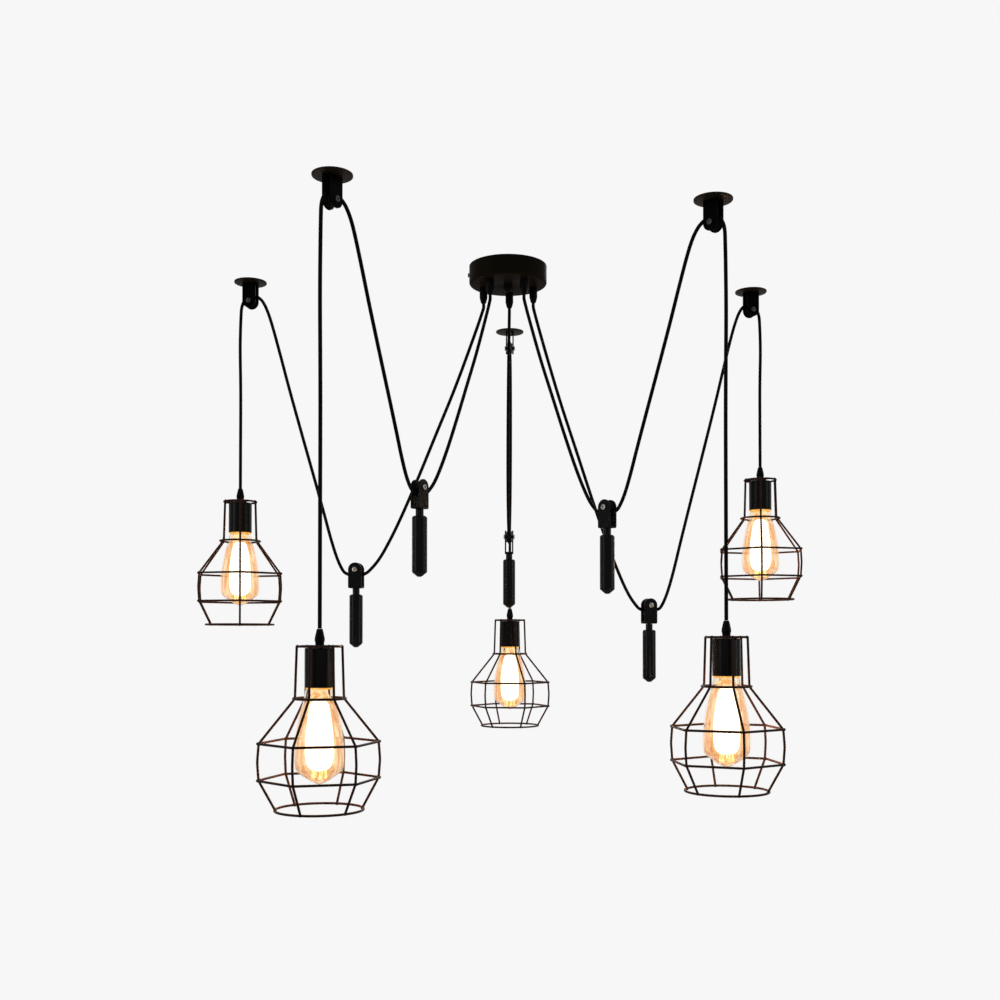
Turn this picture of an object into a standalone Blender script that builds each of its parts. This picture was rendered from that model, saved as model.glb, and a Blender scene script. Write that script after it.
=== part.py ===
"""Cage pendant lamp with five adjustable arms.

A round canopy feeds five cords. Each cord runs under the wheel of a hanging counterweight,
over the wheel of a ceiling pulley and down to a wire cage with a bulb. Pulling a lamp down
lifts its weight. Metres, +Z up, origin on the ceiling in the middle of the canopy.
"""
import math

import bmesh
import bpy
from mathutils import Matrix, Vector

# Canopy
CANOPY_RADIUS = 0.065
CANOPY_HEIGHT = 0.032
CANOPY_WALL = 0.0012
CANOPY_CORNER = 0.004
GRIP_CIRCLE_RADIUS = 0.045
GRIP_RADIUS = 0.0067
GRIP_TIP_RADIUS = 0.0042
CANOPY_GRIP_LENGTH = 0.0255
GRIP_TAPER = 0.008
# Mounting bar inside the canopy, its stud and nut
BAR_LENGTH = 0.124
BAR_WIDTH = 0.014
BAR_THICKNESS = 0.002
BAR_TAB_DROP = 0.021
BAR_SLOT_LENGTH = 0.018
BAR_SLOT_WIDTH = 0.005
BAR_SLOT_REACH = 0.033
STUD_RADIUS = 0.004
NUT_RADIUS = 0.0072
NUT_HEIGHT = 0.007
# the nut's dome: share of its radius, share of its height below its top
NUT_DOME_SHARES = [(1.0, 0.50), (0.8, 0.833), (0.4, 1.0)]
SCREW_RADIUS = 0.0018
SCREW_HEAD_RADIUS = 0.0035
SCREW_HEAD_HEIGHT = 0.002
# the screw's head: share of its radius, share of its height
SCREW_HEAD_SHARES = [(0.7, 1.0), (1.0, 0.333)]
SCREW_LENGTH = 0.008
SCREW_DROP = 0.015
BLOCK_LENGTH = 0.030
BLOCK_WIDTH = 0.018
BLOCK_HEIGHT = 0.014
BLOCK_REACH = 0.033
BLOCK_HOLE_RADIUS = 0.0016
BLOCK_HOLE_SHARES = (-0.32, 0, 0.32)
# Pulley blocks: a forked yoke, a grooved wheel and a bolt, the same at ceiling and weight
DISC_RADIUS = 0.028
DISC_THICKNESS = 0.0025
YOKE_WIDTH = 0.024
YOKE_THICKNESS = 0.016
YOKE_HEIGHT = 0.0445
YOKE_SLOT_WIDTH = 0.0122
YOKE_SLOT_DEPTH = 0.0413
BOLT_TO_END = 0.0125
BOLT_RADIUS = 0.0025
BOLT_HEAD_RADIUS = 0.0045
BOLT_HEAD_HEIGHT = 0.002
WHEEL_RADIUS = 0.0104
WHEEL_THICKNESS = 0.0104
GROOVE_RADIUS = 0.0078
GROOVE_WIDTH = 0.0064
GROOVE_FLOOR_SHARE = 0.45
# Counterweight
NECK_RADIUS = 0.006
NECK_LENGTH = 0.0104
ROD_RADIUS = 0.011
ROD_LENGTH = 0.0905
ROD_POINT = 0.0068
ROD_TIP_RADIUS = 0.0030
ROD_CHAMFER = 0.0012
ROD_STUD_RADIUS = 0.0032
ROD_STUD_LENGTH = 0.0042
# Lamp: grip, holder, bulb
LAMP_GRIP_LENGTH = 0.0215
LAMP_GRIP_TOP_RADIUS = 0.0046
LAMP_GRIP_SHOULDER = 0.003
LAMP_GRIP_BELLY_HEIGHT = 0.0075
LAMP_GRIP_BASE_RADIUS = 0.0059
HOLDER_RADIUS = 0.01975
HOLDER_LENGTH = 0.0525
HOLDER_WALL = 0.0013
HOLDER_EDGE = 0.0022
HOLDER_NECK_RADIUS = 0.0052
SOCKET_RADIUS = 0.0142
SOCKET_CEILING = 0.0045
SOCKET_DEPTH = 0.0175
BULB_LENGTH = 0.1755
BULB_RADIUS = 0.032
BULB_CAP_RADIUS = 0.0132
BULB_CAP_LENGTH = 0.0255
BULB_WALL = 0.0010
BULB_VENT_RADIUS = 0.0012
# the glass from its cap to its round end: share of its length, share of its radius
GLASS_SHARES = [(0.05, 0.45), (0.20, 0.60), (0.38, 0.79), (0.53, 0.92), (0.70, 1.0),
                (0.85, 0.98), (0.90, 0.80), (0.965, 0.37)]
# Cage of wires
WIRE_RADIUS = 0.0014
CAGE_TOP_RADIUS = 0.0277
CAGE_NECK_RADIUS = 0.0342
CAGE_BODY_RADIUS = 0.0806
CAGE_BOW = 0.0018
CAGE_MOUTH_RADIUS = 0.0580
CAGE_WASHER_RADIUS = 0.0084
CAGE_WELD_SHARE = 1.35
CAGE_NECK_DROP = 0.0687
CAGE_SHOULDER_DROP = 0.1267
CAGE_WAIST_DROP = 0.1747
CAGE_MOUTH_DROP = 0.2147
# Cord
CORD_RADIUS = 0.0025
CORD_STEP = 0.0750
# Gap between pieces that touch, overrun of a cut, distance for welding mesh points
GAP = 0.0003
OVERRUN = 0.002
WELD = 0.000002

# Layout on the ceiling: reach of each pulley, how far the lamp cord hangs outside it,
# the drop of each lamp (top ring of the cage) and of each weight (top of its yoke),
# and the weight's place as a share of the reach
FRONT_LEFT_REACH, FRONT_LEFT_OFFSET = 0.4540, 0.0230
FRONT_LEFT_LAMP_DROP, FRONT_LEFT_WEIGHT_DROP = 0.6350, 0.3875
FRONT_LEFT_WEIGHT_SHARE = 0.556
FRONT_RIGHT_REACH, FRONT_RIGHT_OFFSET = 0.4185, 0.0200
FRONT_RIGHT_LAMP_DROP, FRONT_RIGHT_WEIGHT_DROP = 0.6228, 0.4107
FRONT_RIGHT_WEIGHT_SHARE = 0.523
LEFT_REACH, LEFT_OFFSET = 0.4597, 0.0175
LEFT_LAMP_DROP, LEFT_WEIGHT_DROP = 0.3860, 0.4946
LEFT_WEIGHT_SHARE = 0.5767
RIGHT_REACH, RIGHT_OFFSET = 0.4598, 0.0175
RIGHT_LAMP_DROP, RIGHT_WEIGHT_DROP = 0.3402, 0.5549
RIGHT_WEIGHT_SHARE = 0.561
REAR_REACH, REAR_OFFSET = 0.4160, 0.0180
REAR_LAMP_DROP, REAR_WEIGHT_DROP = 0.5880, 0.4220
REAR_WEIGHT_SHARE = 0.570

# One row for each arm: direction, angle of its canopy grip, turn of its cage (degrees),
# reach, offset, lamp drop, weight drop, weight share
ARMS = {
    "front_left": (-121.4, -131, 14.5, FRONT_LEFT_REACH, FRONT_LEFT_OFFSET,
                   FRONT_LEFT_LAMP_DROP, FRONT_LEFT_WEIGHT_DROP, FRONT_LEFT_WEIGHT_SHARE),
    "front_right": (-45.8, -54, 36, FRONT_RIGHT_REACH, FRONT_RIGHT_OFFSET,
                    FRONT_RIGHT_LAMP_DROP, FRONT_RIGHT_WEIGHT_DROP, FRONT_RIGHT_WEIGHT_SHARE),
    "left": (169.2, 157, 43, LEFT_REACH, LEFT_OFFSET,
             LEFT_LAMP_DROP, LEFT_WEIGHT_DROP, LEFT_WEIGHT_SHARE),
    "right": (17.9, 18, 19.5, RIGHT_REACH, RIGHT_OFFSET,
              RIGHT_LAMP_DROP, RIGHT_WEIGHT_DROP, RIGHT_WEIGHT_SHARE),
    "rear": (89.5, 87, -8, REAR_REACH, REAR_OFFSET,
             REAR_LAMP_DROP, REAR_WEIGHT_DROP, REAR_WEIGHT_SHARE),
}

# Cord, as shares. A stretch down to the weight: share of its drop, share of its reach
CANOPY_STRETCH_SHARES = [(0.15, 0.118), (0.31, 0.254), (0.48, 0.413), (0.64, 0.563),
                         (0.78, 0.701), (0.88, 0.811), (0.955, 0.910)]
PULLEY_STRETCH_SHARES = [(0.05, 0.062), (0.15, 0.158), (0.31, 0.302), (0.48, 0.462),
                         (0.64, 0.615), (0.78, 0.747), (0.88, 0.839), (0.955, 0.922)]
# The arch over a ceiling wheel, towards the lamp and towards the canopy: share of its half
# width (the offset on the lamp's side), share of its height
ARCH_SHARES = [(0.27, 0.05), (0.52, 0.20), (0.74, 0.44), (0.90, 0.73), (0.97, 1.0)]
INNER_ARCH_SHARES = [(0.27, 0.05), (0.52, 0.20), (0.75, 0.465), (1.0, 1.0)]
# The bow under a weight's wheel: share of its half width, share of its rise
BOW_SHARES = [(0.30, 0.08), (0.62, 0.34), (1.0, 1.0)]
CORD_ARCH_HEIGHT = 0.0250
INNER_ARCH_SPREAD = 0.0730
INNER_ARCH_HEIGHT = 0.0226
CORD_BOW_WIDTH = 0.0220
CORD_BOW_RISE = 0.0072
DROP_SHARES = [0.35, 0.68]

CEILING_BOLT_Z = -(DISC_THICKNESS + YOKE_HEIGHT - BOLT_TO_END)
CORD_RUN = GROOVE_RADIUS + CORD_RADIUS + GAP
FULL_TURN = 2 * math.pi
SMOOTH_ANGLE = math.radians(35)
MATERIALS = {}


def clear_scene():
    for item in list(bpy.data.objects):
        bpy.data.objects.remove(item, do_unlink=True)


def material(name, colour, roughness, metallic):
    if name not in MATERIALS:
        made = bpy.data.materials.new(name)
        made.use_nodes = True
        shader = made.node_tree.nodes["Principled BSDF"]
        shader.inputs["Base Color"].default_value = (*colour, 1.0)
        shader.inputs["Roughness"].default_value = roughness
        shader.inputs["Metallic"].default_value = metallic
        MATERIALS[name] = made
    return MATERIALS[name]


def black_paint(name):
    return material(name, (0.012, 0.012, 0.013), 0.38, 0.0)


def mesh_from(bm, name):
    bmesh.ops.recalc_face_normals(bm, faces=bm.faces)
    mesh = bpy.data.meshes.new(name)
    bm.to_mesh(mesh)
    bm.free()
    mesh.shade_smooth()
    mesh.set_sharp_from_angle(angle=SMOOTH_ANGLE)
    return mesh


def lathe(name, profile, steps, closed=False):
    """A turned piece: profile points (radius, height) spun round Z."""
    bm = bmesh.new()
    points = [bm.verts.new((radius, 0, height)) for radius, height in profile]
    edges = [bm.edges.new(pair) for pair in zip(points, points[1:])]
    if closed:
        edges.append(bm.edges.new((points[-1], points[0])))
    bmesh.ops.spin(bm, geom=points + edges, cent=(0, 0, 0), axis=(0, 0, 1),
                   angle=FULL_TURN, steps=steps, use_merge=True)
    bmesh.ops.remove_doubles(bm, verts=bm.verts, dist=WELD)
    return mesh_from(bm, name)


def box(name, low, high):
    bm = bmesh.new()
    bmesh.ops.create_cube(bm, size=1)
    size = [b - a for a, b in zip(low, high)]
    centre = [(a + b) / 2 for a, b in zip(low, high)]
    bmesh.ops.transform(bm, matrix=Matrix.Translation(centre) @ Matrix.Diagonal((*size, 1)),
                        verts=bm.verts)
    return mesh_from(bm, name)


def combine(mesh, others, operation):
    """Joins meshes to a mesh, or cuts them from it, with EXACT booleans, and gives the result."""
    base = bpy.data.objects.new("base", mesh)
    bpy.context.scene.collection.objects.link(base)
    helpers = []
    for other in others:
        helper = bpy.data.objects.new("helper", other)
        bpy.context.scene.collection.objects.link(helper)
        helper.hide_render = True
        helper.display_type = "WIRE"
        cut = base.modifiers.new("combine", "BOOLEAN")
        cut.operation = operation
        cut.solver = "EXACT"
        cut.object = helper
        helpers.append(helper)
    bpy.context.view_layer.update()
    depsgraph = bpy.context.evaluated_depsgraph_get()
    result = bpy.data.meshes.new_from_object(base.evaluated_get(depsgraph))
    for item in [base, *helpers]:
        bpy.data.objects.remove(item, do_unlink=True)
    result.shade_smooth()
    result.set_sharp_from_angle(angle=SMOOTH_ANGLE)
    return result


def moved(mesh, matrix):
    copy = mesh.copy()
    copy.transform(matrix)
    return copy


def along_y(mesh):
    """Turns a lathed piece so that its axis lies along Y."""
    mesh.transform(Matrix.Rotation(math.radians(90), 4, "X"))
    return mesh


def place(name, data, finish, parent, location=(0, 0, 0), turn=0.0):
    item = bpy.data.objects.new(name, data)
    bpy.context.scene.collection.objects.link(item)
    item.parent = parent
    item.location = location
    item.rotation_euler = (0, 0, turn)
    if data is not None:
        if data.materials:
            item.material_slots[0].link = "OBJECT"
            item.material_slots[0].material = finish
        else:
            data.materials.append(finish)
    return item


def arc(centre, radius, start, end, steps):
    """Points (radius, height) on an arc, angles in degrees."""
    points = []
    for step in range(steps + 1):
        angle = math.radians(start + (end - start) * step / steps)
        points.append((centre[0] + radius * math.cos(angle), centre[1] + radius * math.sin(angle)))
    return points


def grip_profile(top, length):
    """A cord grip: a plain barrel that tapers to its tip, from its top face down."""
    bottom = top - length
    return [(0, top), (GRIP_RADIUS, top), (GRIP_RADIUS, bottom + GRIP_TAPER),
            (GRIP_TIP_RADIUS, bottom), (0, bottom)]


def canopy_mesh():
    inner_radius = CANOPY_RADIUS - CANOPY_WALL
    inner_corner = CANOPY_CORNER - CANOPY_WALL
    corner_centre = (CANOPY_RADIUS - CANOPY_CORNER, CANOPY_CORNER - CANOPY_HEIGHT)
    floor_top = CANOPY_WALL - CANOPY_HEIGHT
    outer = [(CANOPY_RADIUS, 0), *arc(corner_centre, CANOPY_CORNER, 0, -90, 3)]
    inner = [*arc(corner_centre, inner_corner, -90, 0, 2), (inner_radius, 0)]
    hole = STUD_RADIUS + GAP
    profile = [*outer, (hole, -CANOPY_HEIGHT), (hole, floor_top), *inner]
    cup = lathe("canopy", profile, 24, closed=True)
    grip = lathe("grip", grip_profile(floor_top - CANOPY_WALL / 2,
                                      CANOPY_GRIP_LENGTH + CANOPY_WALL / 2), 10)
    grips = []
    for _, angle, *_ in ARMS.values():
        spin = Matrix.Rotation(math.radians(angle), 4, "Z")
        grips.append(moved(grip, spin @ Matrix.Translation((GRIP_CIRCLE_RADIUS, 0, 0))))
    cup = combine(cup, grips, "UNION")
    bore = lathe("bore", [(0, -OVERRUN), (SCREW_RADIUS + GAP, -OVERRUN),
                          (SCREW_RADIUS + GAP, CANOPY_WALL + OVERRUN), (0, CANOPY_WALL + OVERRUN)], 8)
    to_side = Matrix.Translation((-inner_radius, 0, -SCREW_DROP)) @ Matrix.Rotation(
        math.radians(-90), 4, "Y")
    return combine(cup, [moved(bore, to_side)], "DIFFERENCE")


def bar_mesh():
    """The strap under the ceiling, with its stud, two bent ends and two slots for ceiling screws."""
    half, half_width = BAR_LENGTH / 2, BAR_WIDTH / 2
    strap = box("strap", (-half, -half_width, -BAR_THICKNESS), (half, half_width, 0))
    stud_end = -(CANOPY_HEIGHT + NUT_HEIGHT / 2)
    stud = lathe("stud", [(0, -BAR_THICKNESS / 2), (STUD_RADIUS, -BAR_THICKNESS / 2),
                          (STUD_RADIUS, stud_end), (0, stud_end)], 12)
    tabs = []
    for side in (-1, 1):
        ends = sorted((side * half, side * (half - BAR_THICKNESS)))
        tabs.append(box("tab", (ends[0], -half_width, -BAR_TAB_DROP),
                        (ends[1], half_width, -BAR_THICKNESS / 2)))
    bar = combine(strap, [stud, *tabs], "UNION")
    cuts = []
    for side in (-1, 1):
        ends = (side * BAR_SLOT_REACH - BAR_SLOT_LENGTH / 2, side * BAR_SLOT_REACH + BAR_SLOT_LENGTH / 2)
        cuts.append(box("slot", (ends[0], -BAR_SLOT_WIDTH / 2, -BAR_THICKNESS - OVERRUN),
                        (ends[1], BAR_SLOT_WIDTH / 2, OVERRUN)))
        hole = lathe("hole", [(0, -half - OVERRUN), (SCREW_RADIUS + GAP, -half - OVERRUN),
                              (SCREW_RADIUS + GAP, OVERRUN + BAR_THICKNESS - half),
                              (0, OVERRUN + BAR_THICKNESS - half)], 8)
        cuts.append(moved(hole, Matrix.Translation((0, 0, -SCREW_DROP))
                          @ Matrix.Rotation(math.radians(side * -90), 4, "Y")))
    return combine(bar, cuts, "DIFFERENCE")


def nut_mesh():
    """The domed nut under the canopy, with a blind bore for the stud."""
    top = -CANOPY_HEIGHT - GAP
    bottom = top - NUT_HEIGHT
    bore_end = -(CANOPY_HEIGHT + NUT_HEIGHT / 2) - GAP
    bore = STUD_RADIUS + GAP
    profile = [(0, bore_end), (bore, bore_end), (bore, top), (NUT_RADIUS, top)]
    profile += [(NUT_RADIUS * width, top - NUT_HEIGHT * down) for width, down in NUT_DOME_SHARES]
    profile.append((0, bottom))
    return lathe("nut", profile, 12)


def side_screw_mesh():
    head, tip = SCREW_HEAD_HEIGHT, -SCREW_LENGTH
    profile = [(0, head)]
    profile += [(SCREW_HEAD_RADIUS * width, head * up) for width, up in SCREW_HEAD_SHARES]
    profile += [(SCREW_HEAD_RADIUS, 0), (SCREW_RADIUS, 0), (SCREW_RADIUS, tip), (0, tip)]
    mesh = lathe("side_screw", profile, 10)
    mesh.transform(Matrix.Rotation(math.radians(-90), 4, "Y"))
    return mesh


def terminal_block_mesh():
    """A moulded block with a row of wire holes along its side."""
    top = -BAR_THICKNESS - GAP
    block = box("block", (BLOCK_REACH - BLOCK_LENGTH / 2, -BLOCK_WIDTH / 2, top - BLOCK_HEIGHT),
                (BLOCK_REACH + BLOCK_LENGTH / 2, BLOCK_WIDTH / 2, top))
    holes = []
    for share in BLOCK_HOLE_SHARES:
        hole = along_y(lathe("hole", [(0, -BLOCK_WIDTH), (BLOCK_HOLE_RADIUS, -BLOCK_WIDTH),
                                      (BLOCK_HOLE_RADIUS, BLOCK_WIDTH), (0, BLOCK_WIDTH)], 8))
        holes.append(moved(hole, Matrix.Translation(
            (BLOCK_REACH + share * BLOCK_LENGTH, 0, top - BLOCK_HEIGHT / 2))))
    return combine(block, holes, "DIFFERENCE")


def yoke_mesh():
    """A forked block with a round end, standing on z = 0 with its bolt hole above.

    The outline is drawn in the plane of the wheel and extruded through the thickness."""
    half = YOKE_WIDTH / 2
    bolt_height = YOKE_HEIGHT - BOLT_TO_END
    outline = [(-half, 0), (half, 0), *arc((0, bolt_height), half, 0, 180, 8)]
    bm = bmesh.new()
    points = [bm.verts.new((x, -YOKE_THICKNESS / 2, z)) for x, z in outline]
    side = bm.faces.new(points)
    grown = bmesh.ops.extrude_face_region(bm, geom=[side])
    moved_points = [item for item in grown["geom"] if isinstance(item, bmesh.types.BMVert)]
    bmesh.ops.translate(bm, vec=(0, YOKE_THICKNESS, 0), verts=moved_points)
    block = mesh_from(bm, "yoke")
    slot_floor = YOKE_HEIGHT - YOKE_SLOT_DEPTH
    slot = box("slot", (-YOKE_WIDTH, -YOKE_SLOT_WIDTH / 2, slot_floor),
               (YOKE_WIDTH, YOKE_SLOT_WIDTH / 2, YOKE_HEIGHT + OVERRUN))
    hole = BOLT_RADIUS + GAP
    bore = along_y(lathe("bore", [(0, -YOKE_THICKNESS), (hole, -YOKE_THICKNESS),
                                  (hole, YOKE_THICKNESS), (0, YOKE_THICKNESS)], 8))
    bore = moved(bore, Matrix.Translation((0, 0, bolt_height)))
    return combine(block, [slot, bore], "DIFFERENCE")


def ceiling_yoke_mesh(yoke):
    """The yoke upside down under its round ceiling plate."""
    plate = lathe("plate", [(0, 0), (DISC_RADIUS, 0), (DISC_RADIUS, -DISC_THICKNESS),
                            (0, -DISC_THICKNESS)], 18)
    flip = Matrix.Rotation(math.radians(180), 4, "X")
    down = Matrix.Translation((0, 0, -DISC_THICKNESS))
    return combine(plate, [moved(yoke, down @ flip)], "UNION")


def weight_yoke_mesh(yoke):
    """The yoke with its bolt at the origin and a bore below for the rod's stud."""
    hole = ROD_STUD_RADIUS + GAP
    bore = lathe("bore", [(0, -OVERRUN), (hole, -OVERRUN), (hole, ROD_STUD_LENGTH + GAP),
                          (0, ROD_STUD_LENGTH + GAP)], 8)
    cut = combine(yoke, [bore], "DIFFERENCE")
    return moved(cut, Matrix.Translation((0, 0, BOLT_TO_END - YOKE_HEIGHT)))


def wheel_mesh():
    """A sheave: rim, faces, bore and a groove that a cord's round side fits."""
    half, groove = WHEEL_THICKNESS / 2, GROOVE_WIDTH / 2
    bore = BOLT_RADIUS + GAP
    floor = groove * GROOVE_FLOOR_SHARE
    profile = [(bore, -half), (WHEEL_RADIUS, -half), (WHEEL_RADIUS, -groove),
               (GROOVE_RADIUS, -floor), (GROOVE_RADIUS, floor),
               (WHEEL_RADIUS, groove), (WHEEL_RADIUS, half), (bore, half)]
    return along_y(lathe("wheel", profile, 12, closed=True))


def bolt_mesh():
    seat = YOKE_THICKNESS / 2 + GAP
    end = seat + BOLT_HEAD_HEIGHT
    profile = [(0, -end), (BOLT_HEAD_RADIUS, -end), (BOLT_HEAD_RADIUS, -seat), (BOLT_RADIUS, -seat),
               (BOLT_RADIUS, seat), (BOLT_HEAD_RADIUS, seat), (BOLT_HEAD_RADIUS, end), (0, end)]
    return along_y(lathe("bolt", profile, 8))


def rod_mesh():
    """The counterweight: pointed rod, neck, and a stud that goes up into the yoke."""
    neck_top = BOLT_TO_END - YOKE_HEIGHT - GAP
    rod_top = neck_top - NECK_LENGTH
    tip = rod_top - ROD_LENGTH
    stud_top = neck_top + ROD_STUD_LENGTH
    profile = [(0, tip), (ROD_TIP_RADIUS, tip), (ROD_RADIUS, tip + ROD_POINT),
               (ROD_RADIUS, rod_top - ROD_CHAMFER),
               (ROD_RADIUS - ROD_CHAMFER, rod_top), (NECK_RADIUS, rod_top), (NECK_RADIUS, neck_top),
               (ROD_STUD_RADIUS, neck_top), (ROD_STUD_RADIUS, stud_top), (0, stud_top)]
    return lathe("rod", profile, 12)


def holder_mesh():
    """Grip, neck and lamp holder. Its origin is the middle of the cage's top washer."""
    clamp = WIRE_RADIUS + GAP
    grip_top = clamp + LAMP_GRIP_LENGTH
    cup_top = -clamp
    mouth = cup_top - HOLDER_LENGTH
    inner = HOLDER_RADIUS - HOLDER_WALL
    socket_top = cup_top - SOCKET_CEILING
    socket_mouth = socket_top - SOCKET_DEPTH
    profile = [(0, grip_top), (CORD_RADIUS + GAP, grip_top),
               (LAMP_GRIP_TOP_RADIUS, grip_top - LAMP_GRIP_SHOULDER),
               (GRIP_RADIUS, clamp + LAMP_GRIP_BELLY_HEIGHT), (LAMP_GRIP_BASE_RADIUS, clamp),
               (HOLDER_NECK_RADIUS, clamp), (HOLDER_NECK_RADIUS, cup_top),
               (HOLDER_RADIUS - HOLDER_EDGE, cup_top), (HOLDER_RADIUS, cup_top - HOLDER_EDGE),
               (HOLDER_RADIUS, mouth), (inner, mouth), (inner, socket_mouth),
               (SOCKET_RADIUS, socket_mouth), (SOCKET_RADIUS, socket_top), (0, socket_top)]
    return lathe("holder", profile, 12)


def bulb_mesh():
    """A long teardrop bulb: thin glass and screw cap in one shell, open at a small vent on top."""
    top = -(WIRE_RADIUS + GAP + SOCKET_CEILING + GAP)
    cap_end = top - BULB_CAP_LENGTH
    glass = top - BULB_LENGTH - cap_end
    wall = BULB_WALL
    profile = [(0, cap_end + glass)]
    profile += [(BULB_RADIUS * width, cap_end + glass * down) for down, width in reversed(GLASS_SHARES)]
    profile += [(BULB_CAP_RADIUS, cap_end), (BULB_CAP_RADIUS, top), (BULB_VENT_RADIUS, top),
                (BULB_VENT_RADIUS, top - wall), (BULB_CAP_RADIUS - wall, top - wall),
                (BULB_CAP_RADIUS - wall, cap_end)]
    profile += [(BULB_RADIUS * width - wall, cap_end + glass * down) for down, width in GLASS_SHARES[1::2]]
    profile.append((0, cap_end + glass + 2 * wall))
    return lathe("bulb", profile, 12)


def wire_mesh(points, closed, tilt=0.0):
    """A wire along a line of points, four-sided, as a closed mesh. tilt turns its section."""
    curve = bpy.data.curves.new("wire", "CURVE")
    curve.dimensions = "3D"
    curve.bevel_depth = WIRE_RADIUS
    curve.bevel_resolution = 0
    curve.use_fill_caps = not closed
    spline = curve.splines.new("POLY")
    spline.points.add(len(points) - 1)
    for item, point in zip(spline.points, points):
        item.co = (*point, 1)
        item.tilt = tilt
    spline.use_cyclic_u = closed
    wire = bpy.data.objects.new("wire", curve)
    bpy.context.scene.collection.objects.link(wire)
    bpy.context.view_layer.update()
    depsgraph = bpy.context.evaluated_depsgraph_get()
    mesh = bpy.data.meshes.new_from_object(wire.evaluated_get(depsgraph))
    bpy.data.objects.remove(wire, do_unlink=True)
    bm = bmesh.new()
    bm.from_mesh(mesh)
    bmesh.ops.remove_doubles(bm, verts=bm.verts, dist=WELD)
    return mesh_from(bm, "wire")


def around(radius, drop, count, turn=0.0):
    """Points spread evenly on a level circle."""
    angles = [turn + FULL_TURN * step / count for step in range(count)]
    return [(radius * math.cos(angle), radius * math.sin(angle), -drop) for angle in angles]


def cage_mesh():
    """Six bent uprights with five rings welded to them, and spokes in to a washer.

    The two wide rings are hexagons with their corners at the uprights. The neck ring, the
    hexagons and the mouth ring lie outside the uprights, and the top ring lies inside them."""
    weld = WIRE_RADIUS * CAGE_WELD_SHARE
    bow_drop = (CAGE_SHOULDER_DROP + CAGE_WAIST_DROP) / 2
    upright = [(CAGE_TOP_RADIUS + weld, -WIRE_RADIUS), (CAGE_NECK_RADIUS - weld, CAGE_NECK_DROP),
               (CAGE_BODY_RADIUS - weld, CAGE_SHOULDER_DROP),
               (CAGE_BODY_RADIUS - weld + CAGE_BOW, bow_drop),
               (CAGE_BODY_RADIUS - weld, CAGE_WAIST_DROP),
               (CAGE_MOUTH_RADIUS - weld, CAGE_MOUTH_DROP + WIRE_RADIUS)]
    wires = []
    for side in range(6):
        angle = FULL_TURN * side / 6
        line = [(radius * math.cos(angle), radius * math.sin(angle), -drop) for radius, drop in upright]
        wires.append(wire_mesh(line, False, math.radians(45)))
    half_step = FULL_TURN / 24
    flats = 1 / math.cos(half_step)
    rings = [around(CAGE_TOP_RADIUS * flats, 0, 12, half_step),
             around(CAGE_NECK_RADIUS * flats, CAGE_NECK_DROP, 12, half_step),
             around(CAGE_BODY_RADIUS, CAGE_SHOULDER_DROP, 6),
             around(CAGE_BODY_RADIUS, CAGE_WAIST_DROP, 6),
             around(CAGE_MOUTH_RADIUS * flats, CAGE_MOUTH_DROP, 12, half_step),
             around(CAGE_WASHER_RADIUS, 0, 9)]
    wires += [wire_mesh(ring, True) for ring in rings]
    inner = around(CAGE_WASHER_RADIUS, 0, 3, math.radians(30))
    outer = around(CAGE_TOP_RADIUS, 0, 3, math.radians(30))
    wires += [wire_mesh(pair, False, math.radians(45)) for pair in zip(inner, outer)]
    return combine(wires[0], wires[1:], "UNION")


def smooth_curve(route, longest_step):
    """Points on a smooth curve through the route's points, closer together where it bends."""
    ends = [2 * route[0] - route[1], *route, 2 * route[-1] - route[-2]]
    points = []
    for before, start, end, after in zip(ends, ends[1:], ends[2:], ends[3:]):
        steps = max(1, math.ceil((end - start).length / longest_step))
        leave, arrive = (end - before) / 2, (after - start) / 2
        leave *= (end - start).length * 2 / ((end - start).length + (start - before).length)
        arrive *= (end - start).length * 2 / ((end - start).length + (after - end).length)
        for step in range(steps):
            t = step / steps
            points.append((2 * t**3 - 3 * t**2 + 1) * start + (t**3 - 2 * t**2 + t) * leave
                          + (3 * t**2 - 2 * t**3) * end + (t**3 - t**2) * arrive)
    points.append(route[-1])
    return points


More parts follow.
